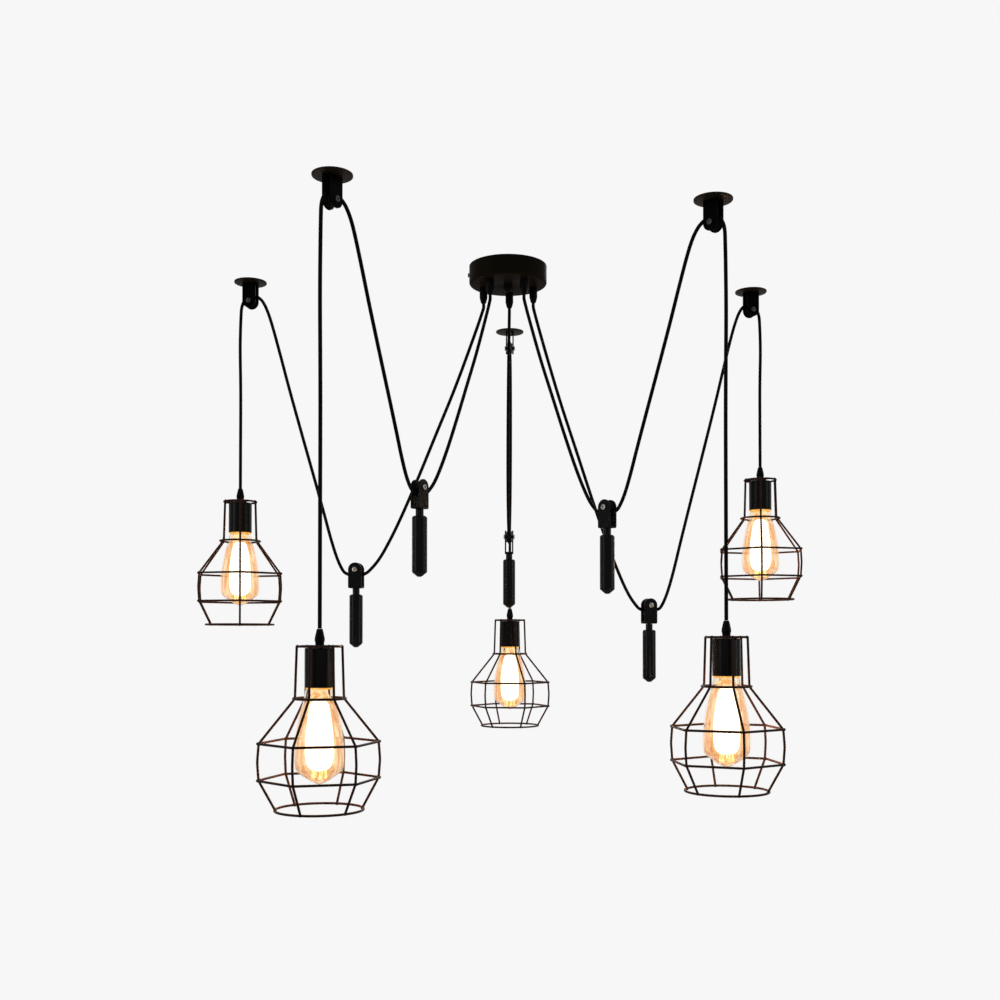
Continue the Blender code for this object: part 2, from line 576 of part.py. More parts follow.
def cord_route(direction, grip_angle, reach, offset, lamp_drop, weight_drop, weight_share):
    """The cord's route in the arm's own frame (+X outward): canopy grip, down to the weight,
    under its wheel, up and over the ceiling wheel, and down to the lamp's grip."""
    spin = math.radians(grip_angle - direction)
    grip = Vector((GRIP_CIRCLE_RADIUS * math.cos(spin), GRIP_CIRCLE_RADIUS * math.sin(spin),
                   -(CANOPY_HEIGHT + CANOPY_GRIP_LENGTH + GAP)))
    weight_x = reach * weight_share
    bow_low = -weight_drop - BOLT_TO_END - CORD_RUN
    bow_top = bow_low + CORD_BOW_RISE
    arch_top = CEILING_BOLT_Z + CORD_RUN
    route = [grip, grip - Vector((0, 0, GRIP_TAPER))]
    inner_end = Vector((weight_x - CORD_BOW_WIDTH, 0, bow_top))
    for down, out in CANOPY_STRETCH_SHARES:
        point = route[1].lerp(inner_end, out)
        point.z = route[1].z + (inner_end.z - route[1].z) * down
        route.append(point)
    half_bow = [(width * CORD_BOW_WIDTH, bow_low + rise * CORD_BOW_RISE) for width, rise in BOW_SHARES]
    route += [Vector((weight_x - x, 0, z)) for x, z in reversed(half_bow)]
    route.append(Vector((weight_x, 0, bow_low)))
    route += [Vector((weight_x + x, 0, z)) for x, z in half_bow]
    # the flatter the stretch, the wider the arch above it
    arch_width = INNER_ARCH_SPREAD * (reach - weight_x) / weight_drop
    outer_start = Vector((reach - arch_width, 0, arch_top - INNER_ARCH_HEIGHT))
    outer_end = route[-1]
    for down, out in reversed(PULLEY_STRETCH_SHARES):
        route.append(Vector((outer_start.x + (outer_end.x - outer_start.x) * out, 0,
                             outer_start.z + (outer_end.z - outer_start.z) * down)))
    inner_arch = [(side * arch_width, arch_top - down * INNER_ARCH_HEIGHT)
                  for side, down in INNER_ARCH_SHARES]
    half_arch = [(side * offset, arch_top - down * CORD_ARCH_HEIGHT) for side, down in ARCH_SHARES]
    route += [Vector((reach - x, 0, z)) for x, z in reversed(inner_arch)]
    route.append(Vector((reach, 0, arch_top)))
    route += [Vector((reach + x, 0, z)) for x, z in half_arch]
    lamp_end = -lamp_drop + WIRE_RADIUS + GAP + LAMP_GRIP_LENGTH + GAP
    start = route[-1].z - GRIP_TAPER
    route.append(Vector((reach + offset, 0, start)))
    route += [Vector((reach + offset, 0, start + (lamp_end - start) * down)) for down in DROP_SHARES]
    route.append(Vector((reach + offset, 0, lamp_end)))
    return route


def cord_curve(name, route):
    curve = bpy.data.curves.new(name, "CURVE")
    curve.dimensions = "3D"
    curve.bevel_depth = CORD_RADIUS
    curve.bevel_resolution = 1
    curve.use_fill_caps = True
    points = smooth_curve(route, CORD_STEP)
    spline = curve.splines.new("POLY")
    spline.points.add(len(points) - 1)
    for item, point in zip(spline.points, points):
        item.co = (*point, 1)
    return curve


def build_canopy():
    place("canopy_cup", canopy_mesh(), black_paint("canopy_paint"), None)
    place("mounting_bar", bar_mesh(), material("zinc_plate", (0.55, 0.55, 0.53), 0.45, 1.0), None)
    place("canopy_nut", nut_mesh(), black_paint("nut_paint"), None)
    place("canopy_side_screw", side_screw_mesh(), black_paint("side_screw_paint"), None,
          (-CANOPY_RADIUS - GAP, 0, -SCREW_DROP))
    place("terminal_block", terminal_block_mesh(),
          material("cream_plastic", (0.75, 0.70, 0.58), 0.5, 0.0), None)


def build_arm(name, row, shapes):
    direction, grip_angle, cage_turn, reach, offset, lamp_drop, weight_drop, weight_share = row
    arm = place(f"arm_{name}", None, None, None, turn=math.radians(direction))
    bolt_metal = material("nickel", (0.62, 0.60, 0.55), 0.3, 1.0)
    pulley = place(f"pulley_{name}", None, None, arm, (reach, 0, 0))
    place(f"{name}_ceiling_yoke", shapes["ceiling_yoke"], black_paint("yoke_paint"), pulley)
    place(f"{name}_ceiling_wheel", shapes["wheel"], black_paint("wheel_plastic"), pulley,
          (0, 0, CEILING_BOLT_Z))
    place(f"{name}_ceiling_axle", shapes["bolt"], bolt_metal, pulley, (0, 0, CEILING_BOLT_Z))
    weight = place(f"weight_{name}", None, None, arm,
                   (reach * weight_share, 0, -weight_drop - BOLT_TO_END))
    place(f"{name}_weight_yoke", shapes["weight_yoke"], black_paint("yoke_paint"), weight)
    place(f"{name}_weight_wheel", shapes["wheel"], black_paint("wheel_plastic"), weight)
    place(f"{name}_weight_axle", shapes["bolt"], bolt_metal, weight)
    place(f"{name}_weight_rod", shapes["rod"], black_paint("rod_paint"), weight)
    lamp = place(f"lamp_{name}", None, None, arm, (reach + offset, 0, -lamp_drop),
                 math.radians(cage_turn - direction))
    place(f"{name}_lamp_holder", shapes["holder"], black_paint("holder_paint"), lamp)
    place(f"{name}_cage", shapes["cage"], black_paint("cage_paint"), lamp)
    place(f"{name}_bulb", shapes["bulb"], material("amber_glass", (1.0, 0.55, 0.2), 0.05, 0.0), lamp)
    route = cord_route(direction, grip_angle, reach, offset, lamp_drop, weight_drop, weight_share)
    place(f"{name}_cord", cord_curve(f"{name}_cord", route), black_paint("cord_jacket"), arm)


def main():
    clear_scene()
    yoke = yoke_mesh()
    shapes = {"ceiling_yoke": ceiling_yoke_mesh(yoke), "weight_yoke": weight_yoke_mesh(yoke),
              "wheel": wheel_mesh(), "bolt": bolt_mesh(), "rod": rod_mesh(),
              "holder": holder_mesh(), "bulb": bulb_mesh(), "cage": cage_mesh()}
    build_canopy()
    for name, row in ARMS.items():
        build_arm(name, row, shapes)
    bpy.context.view_layer.update()


main()
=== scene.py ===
# %% [markdown]
# # A cage pendant lamp with five counterweighted arms
# The real lamp is a round canopy with five cords. Each cord dips under a hanging
# counterweight, climbs over a pulley on the ceiling and drops to a lamp in a wire cage.
# The imported model is the frame: it holds the joints and a plain solid for every piece. This
# script dresses it. Every new piece is a surface worked out with numpy and set where its solid
# is. All but the cord pieces are told which body they move with.

# %% Load the frame
import math

import bmesh
import bpy
import numpy as np
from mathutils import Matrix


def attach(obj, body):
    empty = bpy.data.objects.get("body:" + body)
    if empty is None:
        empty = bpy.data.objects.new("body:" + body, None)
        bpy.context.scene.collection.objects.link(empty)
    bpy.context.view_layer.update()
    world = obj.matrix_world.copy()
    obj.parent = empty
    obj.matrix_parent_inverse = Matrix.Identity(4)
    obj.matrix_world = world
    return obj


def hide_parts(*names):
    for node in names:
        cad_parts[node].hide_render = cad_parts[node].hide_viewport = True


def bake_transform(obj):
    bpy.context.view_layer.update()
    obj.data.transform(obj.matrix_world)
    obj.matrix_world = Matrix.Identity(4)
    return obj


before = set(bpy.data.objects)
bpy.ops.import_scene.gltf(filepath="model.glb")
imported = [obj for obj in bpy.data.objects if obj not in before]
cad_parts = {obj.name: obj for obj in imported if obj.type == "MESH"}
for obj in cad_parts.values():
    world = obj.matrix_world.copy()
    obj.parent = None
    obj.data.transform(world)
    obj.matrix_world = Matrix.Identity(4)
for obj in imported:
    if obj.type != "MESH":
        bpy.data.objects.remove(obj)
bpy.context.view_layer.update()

# %% [markdown]
# ## The camera
# The photograph looks almost level at the middle of the lamp from about two metres away, and
# the ceiling fittings sit high in its frame. A nearly level camera with a vertical shift keeps
# upright lines upright, as the photograph does, where tilting the camera would make them lean.

# %% Camera
CAMERA_PLACE = (0.0, -1.94, -0.623)
CAMERA_PITCH = math.radians(1.0)
FOCAL_PIXELS, FRAME_PIXELS = 1161.0, 1000.0
CENTRE_X, CENTRE_Y = 508.0, 617.0


def linked(name, data):
    """A new object made of the data, put into the scene."""
    item = bpy.data.objects.new(name, data)
    bpy.context.scene.collection.objects.link(item)
    return item


camera = linked("camera", bpy.data.cameras.new("camera"))
camera.data.sensor_width = 36.0
camera.data.lens = camera.data.sensor_width * FOCAL_PIXELS / FRAME_PIXELS
camera.data.shift_x = (FRAME_PIXELS / 2 - CENTRE_X) / FRAME_PIXELS
camera.data.shift_y = (CENTRE_Y - FRAME_PIXELS / 2) / FRAME_PIXELS
camera.data.clip_end = 60.0
camera.location = CAMERA_PLACE
camera.rotation_euler = (math.radians(90) + CAMERA_PITCH, 0, 0)
bpy.context.scene.camera = camera
bpy.context.scene.view_settings.view_transform = "Standard"
print("lens", round(camera.data.lens, 1), "mm")

# %% [markdown]
# ## Grids of points
# A tube, a turned cup and a bent plate are all the same thing to the computer: a grid of
# points, where one direction runs along the piece and the other runs round it. Neighbouring
# points are joined by four-sided faces. Working on the whole grid at once is quick, and the
# formula stays easy to read.
#
# A closed surface must face outwards. The sum of the small pyramids between the origin and
# each face is the volume, and it comes out negative when the faces look inwards, so the test
# is one line, and the cure is to turn every face round.

# %% Grid helpers
TURN_Z_TO_Y = np.array([[1.0, 0, 0], [0, 0, -1], [0, 1, 0]])


def surface(points, wrap_rows=False, caps=False):
    """A shape from a grid of points (rows, columns, 3) whose rows are rings. Each quad joins
    points (i, j), (i, j+1), (i+1, j+1) and (i+1, j). Caps close the first and the last row."""
    rows, columns = points.shape[:2]
    row_steps = rows if wrap_rows else rows - 1
    i, j = (axis.ravel() for axis in np.meshgrid(np.arange(row_steps), np.arange(columns),
                                                 indexing="ij"))
    corner_rows = np.stack([i, i, i + 1, i + 1], 1)
    corner_columns = np.stack([j, j + 1, j + 1, j], 1)
    faces = (corner_rows % rows) * columns + corner_columns % columns
    uv = np.stack([corner_columns / columns, corner_rows / row_steps], 2)
    flat, lids = points.reshape(-1, 3), []
    if caps:
        lids = [np.arange(columns)[::-1], np.arange((rows - 1) * columns, rows * columns)]
    a, b, c, d = (flat[faces[:, k]] for k in range(4))
    volume = (a * np.cross(b, c)).sum() + (a * np.cross(c, d)).sum()
    for fan in (flat[lid] for lid in lids):
        volume += (fan[0] * np.cross(fan[1:-1], fan[2:])).sum()
    way = -1 if volume < 0 else 1
    faces = [*faces[:, ::way].tolist(), *(lid[::way].tolist() for lid in lids)]
    uv = uv[:, ::way].reshape(-1, 2).tolist()
    for end in range(len(lids)):
        uv += [[0.5, float(end)]] * columns
    return {"points": flat, "faces": faces, "uv": uv}


def joined(shapes):
    """Several shapes as one: the face numbers of each are moved past the points before it."""
    points, faces, uv, start = [], [], [], 0
    for shape in shapes:
        points.append(shape["points"])
        faces += [[corner + start for corner in face] for face in shape["faces"]]
        uv += shape["uv"]
        start += len(shape["points"])
    return {"points": np.concatenate(points), "faces": faces, "uv": uv}


def moved(shape, matrix=np.eye(3), offset=(0.0, 0.0, 0.0)):
    """The shape turned by a 3 x 3 matrix, then moved."""
    return {**shape, "points": shape["points"] @ np.asarray(matrix).T + np.asarray(offset)}


def spin(degrees):
    """The matrix that turns about Z."""
    c, s = math.cos(math.radians(degrees)), math.sin(math.radians(degrees))
    return np.array([[c, -s, 0], [s, c, 0], [0, 0, 1]])


# %% Putting a piece into the scene
SAME_POINT = 0.000002
finishes = {}                           # a material for each name, made further down


def piece(name, shape, finish, body, nodes, bevel=0.0, smooth_angle=40.0):
    """Puts a shape into the scene: its points are already in place, so the object stays at the
    origin. It rides on a body when one is given, and hides the solids of the frame that it
    stands for, all given by name."""
    mesh = bpy.data.meshes.new(name)
    mesh.from_pydata(shape["points"].tolist(), [], shape["faces"])
    layer = mesh.uv_layers.new(name="UVMap")
    layer.data.foreach_set("uv", np.asarray(shape["uv"], dtype=np.float32).ravel())
    work = bmesh.new()
    work.from_mesh(mesh)
    bmesh.ops.remove_doubles(work, verts=work.verts, dist=SAME_POINT)
    work.to_mesh(mesh)
    work.free()
    mesh.shade_smooth()
    mesh.set_sharp_from_angle(angle=math.radians(smooth_angle))
    mesh.materials.append(finishes[finish])
    item = linked(name, mesh)
    if bevel:
        edge = item.modifiers.new("edge", "BEVEL")
        edge.width, edge.segments, edge.harden_normals = bevel, 3, True
        edge.limit_method, edge.angle_limit = "ANGLE", math.radians(35)
    if body:
        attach(item, body)
    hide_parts(*nodes)
    return item


# %% [markdown]
# ## Profiles, turned pieces and tubes
# Most of the lamp is made on a lathe: the canopy, the weights, the holders, the wheels and the
# bolts. A turned piece needs only its profile. Real edges are never quite sharp, and a small
# rounding is what catches the light, so each corner of a profile carries its own radius.
#
# The rest is wire and cord. A tube is a circle carried along a path. In a plane path one
# fixed direction, the plane's own normal, keeps the circle from twisting.

# %% Profiles and turned pieces
def unit(vectors):
    """The vectors at length 1."""
    return vectors / np.linalg.norm(vectors, axis=-1, keepdims=True)


def rounded(outline, steps=5):
    """A profile with rounded corners. A row is (radius, height, corner radius).
    The arc touches both sides at corner radius / tan(half the corner's angle)."""
    outline = np.asarray(outline, dtype=float)
    places, points = outline[:, :2], [outline[0, :2]]
    share = np.linspace(0, 1, steps + 1)[:, None]
    for before, corner, after, radius in zip(places, places[1:], places[2:], outline[1:-1, 2]):
        back, on = unit(before - corner), unit(after - corner)
        angle = math.acos(np.clip(back @ on, -1, 1))
        if radius <= 0 or angle > math.radians(175):
            points.append(corner)
            continue
        reach, sweep = radius / math.tan(angle / 2), math.pi - angle
        centre = corner + unit(back + on) * radius / math.sin(angle / 2)
        first, last = corner + back * reach - centre, corner + on * reach - centre
        points.extend(centre + (np.sin((1 - share) * sweep) * first
                                + np.sin(share * sweep) * last) / math.sin(sweep))
    return np.array([*points, places[-1]])


def rings(radius, height, sides):
    """Rows of points round Z: (radius * cos(angle), radius * sin(angle), height). There is a
    radius and a height for each row, or even for each point of a row."""
    radius, height = (np.reshape(value, (len(value), -1)) for value in (radius, height))
    angle = np.linspace(0, 2 * np.pi, sides, endpoint=False)
    return np.stack([radius * np.cos(angle), radius * np.sin(angle), height + 0 * angle], 2)


def turned(profile, sides=64, closed=False):
    """A lathed shape about Z from a profile of (radius, height)."""
    radius, height = np.asarray(profile).T
    return surface(rings(radius, height, sides), wrap_rows=closed)


# %% Paths and tubes
def smooth_path(route, longest):
    """Points on a smooth curve through a route, at most `longest` apart. Between two route
    points it is a cubic whose end slopes follow the neighbours, scaled by the step's length."""
    route = np.asarray(route, dtype=float)
    ends = np.vstack([2 * route[0] - route[1], route, 2 * route[-1] - route[-2]])
    points = []
    for before, start, end, after in zip(ends, ends[1:], ends[2:], ends[3:]):
        here = np.linalg.norm(end - start)
        leave = (end - before) * here / (here + np.linalg.norm(start - before))
        arrive = (after - start) * here / (here + np.linalg.norm(after - end))
        t = np.linspace(0, 1, max(1, math.ceil(here / longest)), endpoint=False)[:, None]
        points.append((2 * t**3 - 3 * t**2 + 1) * start + (t**3 - 2 * t**2 + t) * leave
                      + (3 * t**2 - 2 * t**3) * end + (t**3 - t**2) * arrive)
    return np.vstack([*points, route[-1:]])


def tube(path, radius, plane_normal, sides=12, closed=False):
    """A circle carried along a path. With t the direction of travel, the circle lies in the
    plane of s = normal made square to t, and t x s."""
    if closed:
        travel = unit(np.roll(path, -1, 0) - np.roll(path, 1, 0))
    else:
        travel = unit(np.gradient(path, axis=0))
    side = unit(plane_normal - travel * (travel @ np.asarray(plane_normal))[:, None])
    other = np.cross(travel, side)
    angle = np.linspace(0, 2 * np.pi, sides, endpoint=False)[None, :, None]
    circle = np.cos(angle) * side[:, None] + np.sin(angle) * other[:, None]
    return surface(path[:, None] + radius * circle, wrap_rows=closed, caps=not closed)


print("helpers ready")

# %% [markdown]
# ## Effects that several finishes share
# Almost everything here is satin black, and a flat black looks like a hole in the picture. What
# makes real paint readable is small: a fine orange peel that softens a highlight, patches where
# the gloss differs, a lighter colour painted on convex edges, and a little dust on what faces
# up. Each effect is one node group with named inputs, so every finish can use it at its own
# strength.

# %% Node helpers
MIX_FACTOR, MIX_A, MIX_B, MIX_RESULT = 0, 6, 7, 2      # sockets of a Mix node set to colour
BLACK = (0.0, 0.0, 0.0)


def fill(tree, node, inputs):
    """Links or sets the inputs that are named. An underscore stands for a space."""
    for label, value in inputs.items():
        socket = node.inputs[label.replace("_", " ") if isinstance(label, str) else label]
        if isinstance(value, bpy.types.NodeSocket):
            tree.links.new(value, socket)
        else:
            socket.default_value = value
    return node


def add(tree, kind, inputs=None, **settings):
    """Adds a shader node, sets its properties and fills its inputs."""
    node = tree.nodes.new(kind)
    for label, value in settings.items():
        setattr(node, label, value)
    return fill(tree, node, inputs or {})


def maths(tree, operation, *values, clamp=False):
    """A sum on numbers: the result of one Math node."""
    return add(tree, "ShaderNodeMath", dict(enumerate(values)), operation=operation,
               use_clamp=clamp).outputs[0]


def noise(tree, where, scale, detail):
    """A soft random pattern between 0 and 1."""
    return add(tree, "ShaderNodeTexNoise",
               {"Vector": where, "Scale": scale, "Detail": detail}).outputs[0]


def squeezed_noise(tree, where, level, upright, detail):
    """Noise with a grain: X and Y are multiplied by one scale first, and Z by another."""
    scales = add(tree, "ShaderNodeCombineXYZ", {"X": level, "Y": level, "Z": upright}).outputs[0]
    squeezed = add(tree, "ShaderNodeVectorMath", {0: where, 1: scales}, operation="MULTIPLY")
    return noise(tree, squeezed.outputs[0], 1.0, detail)


def ramp(tree, value, low, high, start=0.0, end=1.0):
    """A straight slope: `start` up to the value low, `end` from the value high."""
    return add(tree, "ShaderNodeMapRange", {"Value": value, "From Min": low, "From Max": high,
                                            "To Min": start, "To Max": end}).outputs[0]


def varied(tree, middle, pattern, strength):
    """A number that wanders with a noise: middle + (pattern - 0.5) * strength."""
    centred = maths(tree, "SUBTRACT", pattern, 0.5)
    return maths(tree, "MULTIPLY_ADD", centred, strength, middle, clamp=True)


def blended(tree, share, first, second):
    """One colour mixed into another."""
    return add(tree, "ShaderNodeMix", {MIX_FACTOR: share, MIX_A: first, MIX_B: second},
               data_type="RGBA").outputs[MIX_RESULT]


def covered(tree, one_mask, other_mask, amount, below, above):
    """A colour laid over another where both masks are high: the product is its share."""
    both = maths(tree, "MULTIPLY", one_mask, other_mask)
    return blended(tree, maths(tree, "MULTIPLY", both, amount, clamp=True), below, above)


def start_group(name, **inputs):
    """A new shader group with an input for each value, a number or a colour. Gives the group,
    its input sockets and the place on the object."""
    group = bpy.data.node_groups.new(name, "ShaderNodeTree")
    for label, value in inputs.items():
        kind, value = ("Float", value) if isinstance(value, float) else ("Color", (*value, 1))
        group.interface.new_socket(name=label.replace("_", " "), in_out="INPUT",
                                   socket_type=f"NodeSocket{kind}").default_value = value
    given = group.nodes.new("NodeGroupInput").outputs
    return group, given, add(group, "ShaderNodeTexCoord").outputs["Object"]


def end_group(group, **outputs):
    """Gives the group its outputs, each fed by a socket."""
    for label in outputs:
        group.interface.new_socket(name=label, in_out="OUTPUT", socket_type="NodeSocketColor"
                                   if label == "Color" else "NodeSocketFloat")
    fill(group, group.nodes.new("NodeGroupOutput"), outputs)


# %% Painted skin
# Orange peel is a fine noise used as height. Broad soft patches differ in gloss.
painted_skin, given, where = start_group("painted_skin", Roughness=0.35, Peel_Scale=900.0)
patches = noise(painted_skin, where, 30.0, detail=4.0)
end_group(painted_skin, Roughness=varied(painted_skin, given["Roughness"], patches, 0.25),
          Height=noise(painted_skin, where, given["Peel Scale"], detail=2.0))

# %% Lighter edges
# Pointiness is high on a convex edge. Noise breaks the line up, and what is left mixes in a
# lighter colour, painted along the edge.
lighter_edges, given, where = start_group("lighter_edges", Colour=BLACK, Edge_Colour=BLACK,
                                       Strength=0.6)
convex = ramp(lighter_edges, add(lighter_edges, "ShaderNodeNewGeometry").outputs["Pointiness"], 0.52, 0.6)
broken = ramp(lighter_edges, noise(lighter_edges, where, 160.0, detail=5.0), 0.42, 0.62)
end_group(lighter_edges, Color=covered(lighter_edges, convex, broken, given["Strength"],
                                    given["Colour"], given["Edge Colour"]))

# %% Settled dust
# The upward part of the surface's normal, times noise, is how much dust lies there.
settled_dust, given, where = start_group("settled_dust", Colour=BLACK, Amount=0.08, Scale=60.0,
                                         Dust_Colour=(0.3, 0.28, 0.25))
normal = add(settled_dust, "ShaderNodeNewGeometry").outputs["Normal"]
upward = add(settled_dust, "ShaderNodeSeparateXYZ", {0: normal}).outputs["Z"]
upward = ramp(settled_dust, upward, 0.2, 1.0)
cloud = noise(settled_dust, where, given["Scale"], detail=6.0)
end_group(settled_dust, Color=covered(settled_dust, upward, cloud, given["Amount"],
                                      given["Colour"], given["Dust Colour"]))

# %% Drawn lines
# Fine lines left by a lathe tool or a die: noise squeezed along the object's Z.
drawn_lines, given, where = start_group("drawn_lines", Across=1500.0, Along=30.0, Roughness=0.3)
lines = squeezed_noise(drawn_lines, where, given["Along"], given["Across"], detail=3.0)
end_group(drawn_lines, Roughness=varied(drawn_lines, given["Roughness"], lines, 0.25),
          Height=lines)

# %% Glow patches
# Upright streaks of a second colour: squeezed noise, cut to a soft mask.
glow_patches, given, where = start_group("glow_patches", Colour=BLACK, Bright_Colour=BLACK)
streaks = squeezed_noise(glow_patches, where, 150.0, 34.0, detail=2.0)
end_group(glow_patches, Color=blended(glow_patches, ramp(glow_patches, streaks, 0.48, 0.6),
                                      given["Colour"], given["Bright Colour"]))
print("groups:", [group.name for group in bpy.data.node_groups])

# %% [markdown]
# ## Finishes
# A finish is a Principled shader fed by the groups. What is the same all over the piece is set
# on the shader's own socket, so that it survives when the model is exported.

# %% Finish helpers
def new_material(name, colour, roughness, metallic=0.0, **uniform):
    """A material with a plain Principled shader. uniform names further sockets of the shader.
    Gives the material's tree and the shader."""
    finishes[name] = material = bpy.data.materials.new(name)
    material.use_nodes = True
    shader = material.node_tree.nodes["Principled BSDF"]
    fill(material.node_tree, shader, dict(Base_Color=(*colour, 1), Roughness=roughness,
                                          Metallic=metallic, **uniform))
    return material.node_tree, shader


def grouped(tree, group, **inputs):
    """The outputs of a node group placed in a material."""
    return add(tree, "ShaderNodeGroup", inputs, node_tree=group).outputs


def bump(tree, height, distance):
    """A normal that is tilted as if the surface had this height, in metres."""
    return add(tree, "ShaderNodeBump", {"Height": height, "Distance": distance}).outputs[0]


def satin_paint(name, colour, roughness, level, sheen=(1.0, 1.0, 1.0), edge_share=0.1, dust=0.02,
                edge_colour=(0.02, 0.016, 0.013), peel=0.00002, peel_scale=900.0):
    """Satin paint: a lighter colour painted on convex edges and dust in the colour, orange peel in
    the bump. level and sheen are how much, and in which colour, the paint mirrors the room."""
    tree, shader = new_material(name, colour, roughness, Specular_IOR_Level=level,
                                Specular_Tint=(*sheen, 1))
    edges = grouped(tree, lighter_edges, Colour=(*colour, 1), Edge_Colour=(*edge_colour, 1),
                    Strength=edge_share)
    dusty = grouped(tree, settled_dust, Colour=edges["Color"], Amount=dust)
    skin = grouped(tree, painted_skin, Roughness=roughness, Peel_Scale=peel_scale)
    fill(tree, shader, {"Base Color": dusty["Color"], "Roughness": skin["Roughness"]})
    if peel:
        fill(tree, shader, {"Normal": bump(tree, skin["Height"], peel)})


def bare_metal(name, colour, roughness, across=1500.0, along=30.0):
    """Plated or turned metal with fine tool lines."""
    tree, shader = new_material(name, colour, roughness, 1.0)
    lines = grouped(tree, drawn_lines, Across=across, Along=along, Roughness=roughness)
    tarnish = grouped(tree, settled_dust, Colour=(*colour, 1), Dust_Colour=(0.2, 0.17, 0.12, 1),
                      Amount=0.25, Scale=180.0)
    fill(tree, shader, {"Base Color": tarnish["Color"], "Roughness": lines["Roughness"],
                        "Normal": bump(tree, lines["Height"], 0.00001)})


# %% The paints, metals and plastics
satin_paint("canopy_paint", (0.0044, 0.0036, 0.0021), 0.42, 0.006, (0.5, 0.46, 0.34), edge_share=0.3)
satin_paint("plate_paint", (0.0062, 0.005, 0.0034), 0.42, 0.03, (1.0, 0.9, 0.74), edge_share=0.3,
            dust=0.04)
satin_paint("weight_paint", (0.0008, 0.0007, 0.0006), 0.24, 0.06, (0.8, 0.9, 1.0), edge_share=0.2,
            dust=0.01, edge_colour=(0.006, 0.004, 0.003))
satin_paint("holder_paint", (0.0009, 0.0008, 0.0008), 0.28, 0.05, edge_share=0.2, dust=0.01)
satin_paint("cage_paint", (0.011, 0.005, 0.0034), 0.36, 0.03,
            edge_colour=(0.03, 0.015, 0.008), peel=0.0)
satin_paint("yoke_plastic", (0.0006, 0.0006, 0.0006), 0.4, 0.01, (0.5, 0.5, 0.5), dust=0.01,
            peel=0.00003, peel_scale=1200.0)
satin_paint("fork_plastic", (0.002, 0.0024, 0.0028), 0.42, 0.03, (0.7, 0.85, 1.0), dust=0.01,
            peel=0.00003, peel_scale=1200.0)
satin_paint("grip_plastic", (0.0012, 0.0012, 0.0012), 0.42, 0.02, dust=0.03, peel=0.00003,
            peel_scale=1400.0)
satin_paint("wheel_nylon", (0.0014, 0.0014, 0.0014), 0.46, 0.03, peel=0.00004, peel_scale=1600.0)
satin_paint("cord_jacket", (0.001, 0.001, 0.001), 0.5, 0.02, edge_share=0.0, dust=0.0, peel=0.0)
satin_paint("cream_plastic", (0.74, 0.68, 0.54), 0.48, 0.5, edge_share=0.4, dust=0.15,
            edge_colour=(0.8, 0.76, 0.66))
satin_paint("socket_ceramic", (0.62, 0.55, 0.44), 0.35, 0.5, edge_share=0.3, dust=0.0,
            edge_colour=(0.75, 0.7, 0.6))
bare_metal("dull_nickel", (0.03, 0.03, 0.027), 0.45)
bare_metal("nickel", (0.15, 0.16, 0.16), 0.38)
bare_metal("zinc_plate", (0.62, 0.62, 0.6), 0.38, across=40.0, along=900.0)
bare_metal("cap_brass", (0.78, 0.6, 0.32), 0.3)
print(len(finishes), "finishes so far")

# %% [markdown]
# ## Glass and light
# The bulbs are clear glass with an amber stain. The glass is a thin shell with an outer and an
# inner face, as a real bulb is, because a solid lump of glass would turn the view behind it
# upside down. Light from inside would have to find its way through two curved faces, which
# takes a renderer very long, so for shadow rays alone the glass counts as clear.
#
# In the photograph the filament is far brighter than anything else and its glare fills the
# bulb. A renderer has no glare of its own. Here soft bodies of light, one inside the other, stand
# for it: a pale core, part-clear amber ones round it, and a faint edge just outside the glass.
# The core throws a warm light.

# %% Glass and glow
def show(tree, output, share, first, second):
    """Ends a tree with two shaders mixed, the second at the given share."""
    mix = add(tree, "ShaderNodeMixShader", {0: share, 1: first.outputs[0], 2: second.outputs[0]})
    tree.links.new(mix.outputs[0], output.inputs["Surface"])


def show_by_ray(tree, output, kinds, chosen, other):
    """Ends a tree with one shader for the named kinds of ray and another for the rest."""
    rays = add(tree, "ShaderNodeLightPath").outputs
    share = rays[f"Is {kinds[0]} Ray"]
    for kind in kinds[1:]:
        share = maths(tree, "MAXIMUM", share, rays[f"Is {kind} Ray"])
    show(tree, output, share, other, chosen)


def glass(name, colour, roughness, index, shadow_colour):
    """Glass that is plainly transparent to shadow rays."""
    tree, shader = new_material(name, colour, roughness, Transmission_Weight=1.0, IOR=index)
    clear = add(tree, "ShaderNodeBsdfTransparent", {"Color": (*shadow_colour, 1)})
    show_by_ray(tree, tree.nodes["Material Output"], ["Shadow"], clear, shader)


def light_body(name, colour, strength, alpha, bright=None, cast=None):
    """A glowing surface that is part clear. bright is the colour of its brighter streaks. cast
    is the light that it throws on the things around it, stronger than the eye is shown."""
    tree, shader = new_material(name, BLACK, 1.0, Alpha=alpha, Specular_IOR_Level=0.0,
                                Emission_Color=(*colour, 1), Emission_Strength=strength)
    if bright:
        streaky = grouped(tree, glow_patches, Colour=(*colour, 1), Bright_Colour=(*bright, 1))
        fill(tree, shader, {"Emission Color": streaky["Color"]})
    if cast:
        thrown = add(tree, "ShaderNodeEmission", {"Color": (*cast[:3], 1), "Strength": cast[3]})
        show_by_ray(tree, tree.nodes["Material Output"], ["Camera", "Transmission"], shader,
                    thrown)


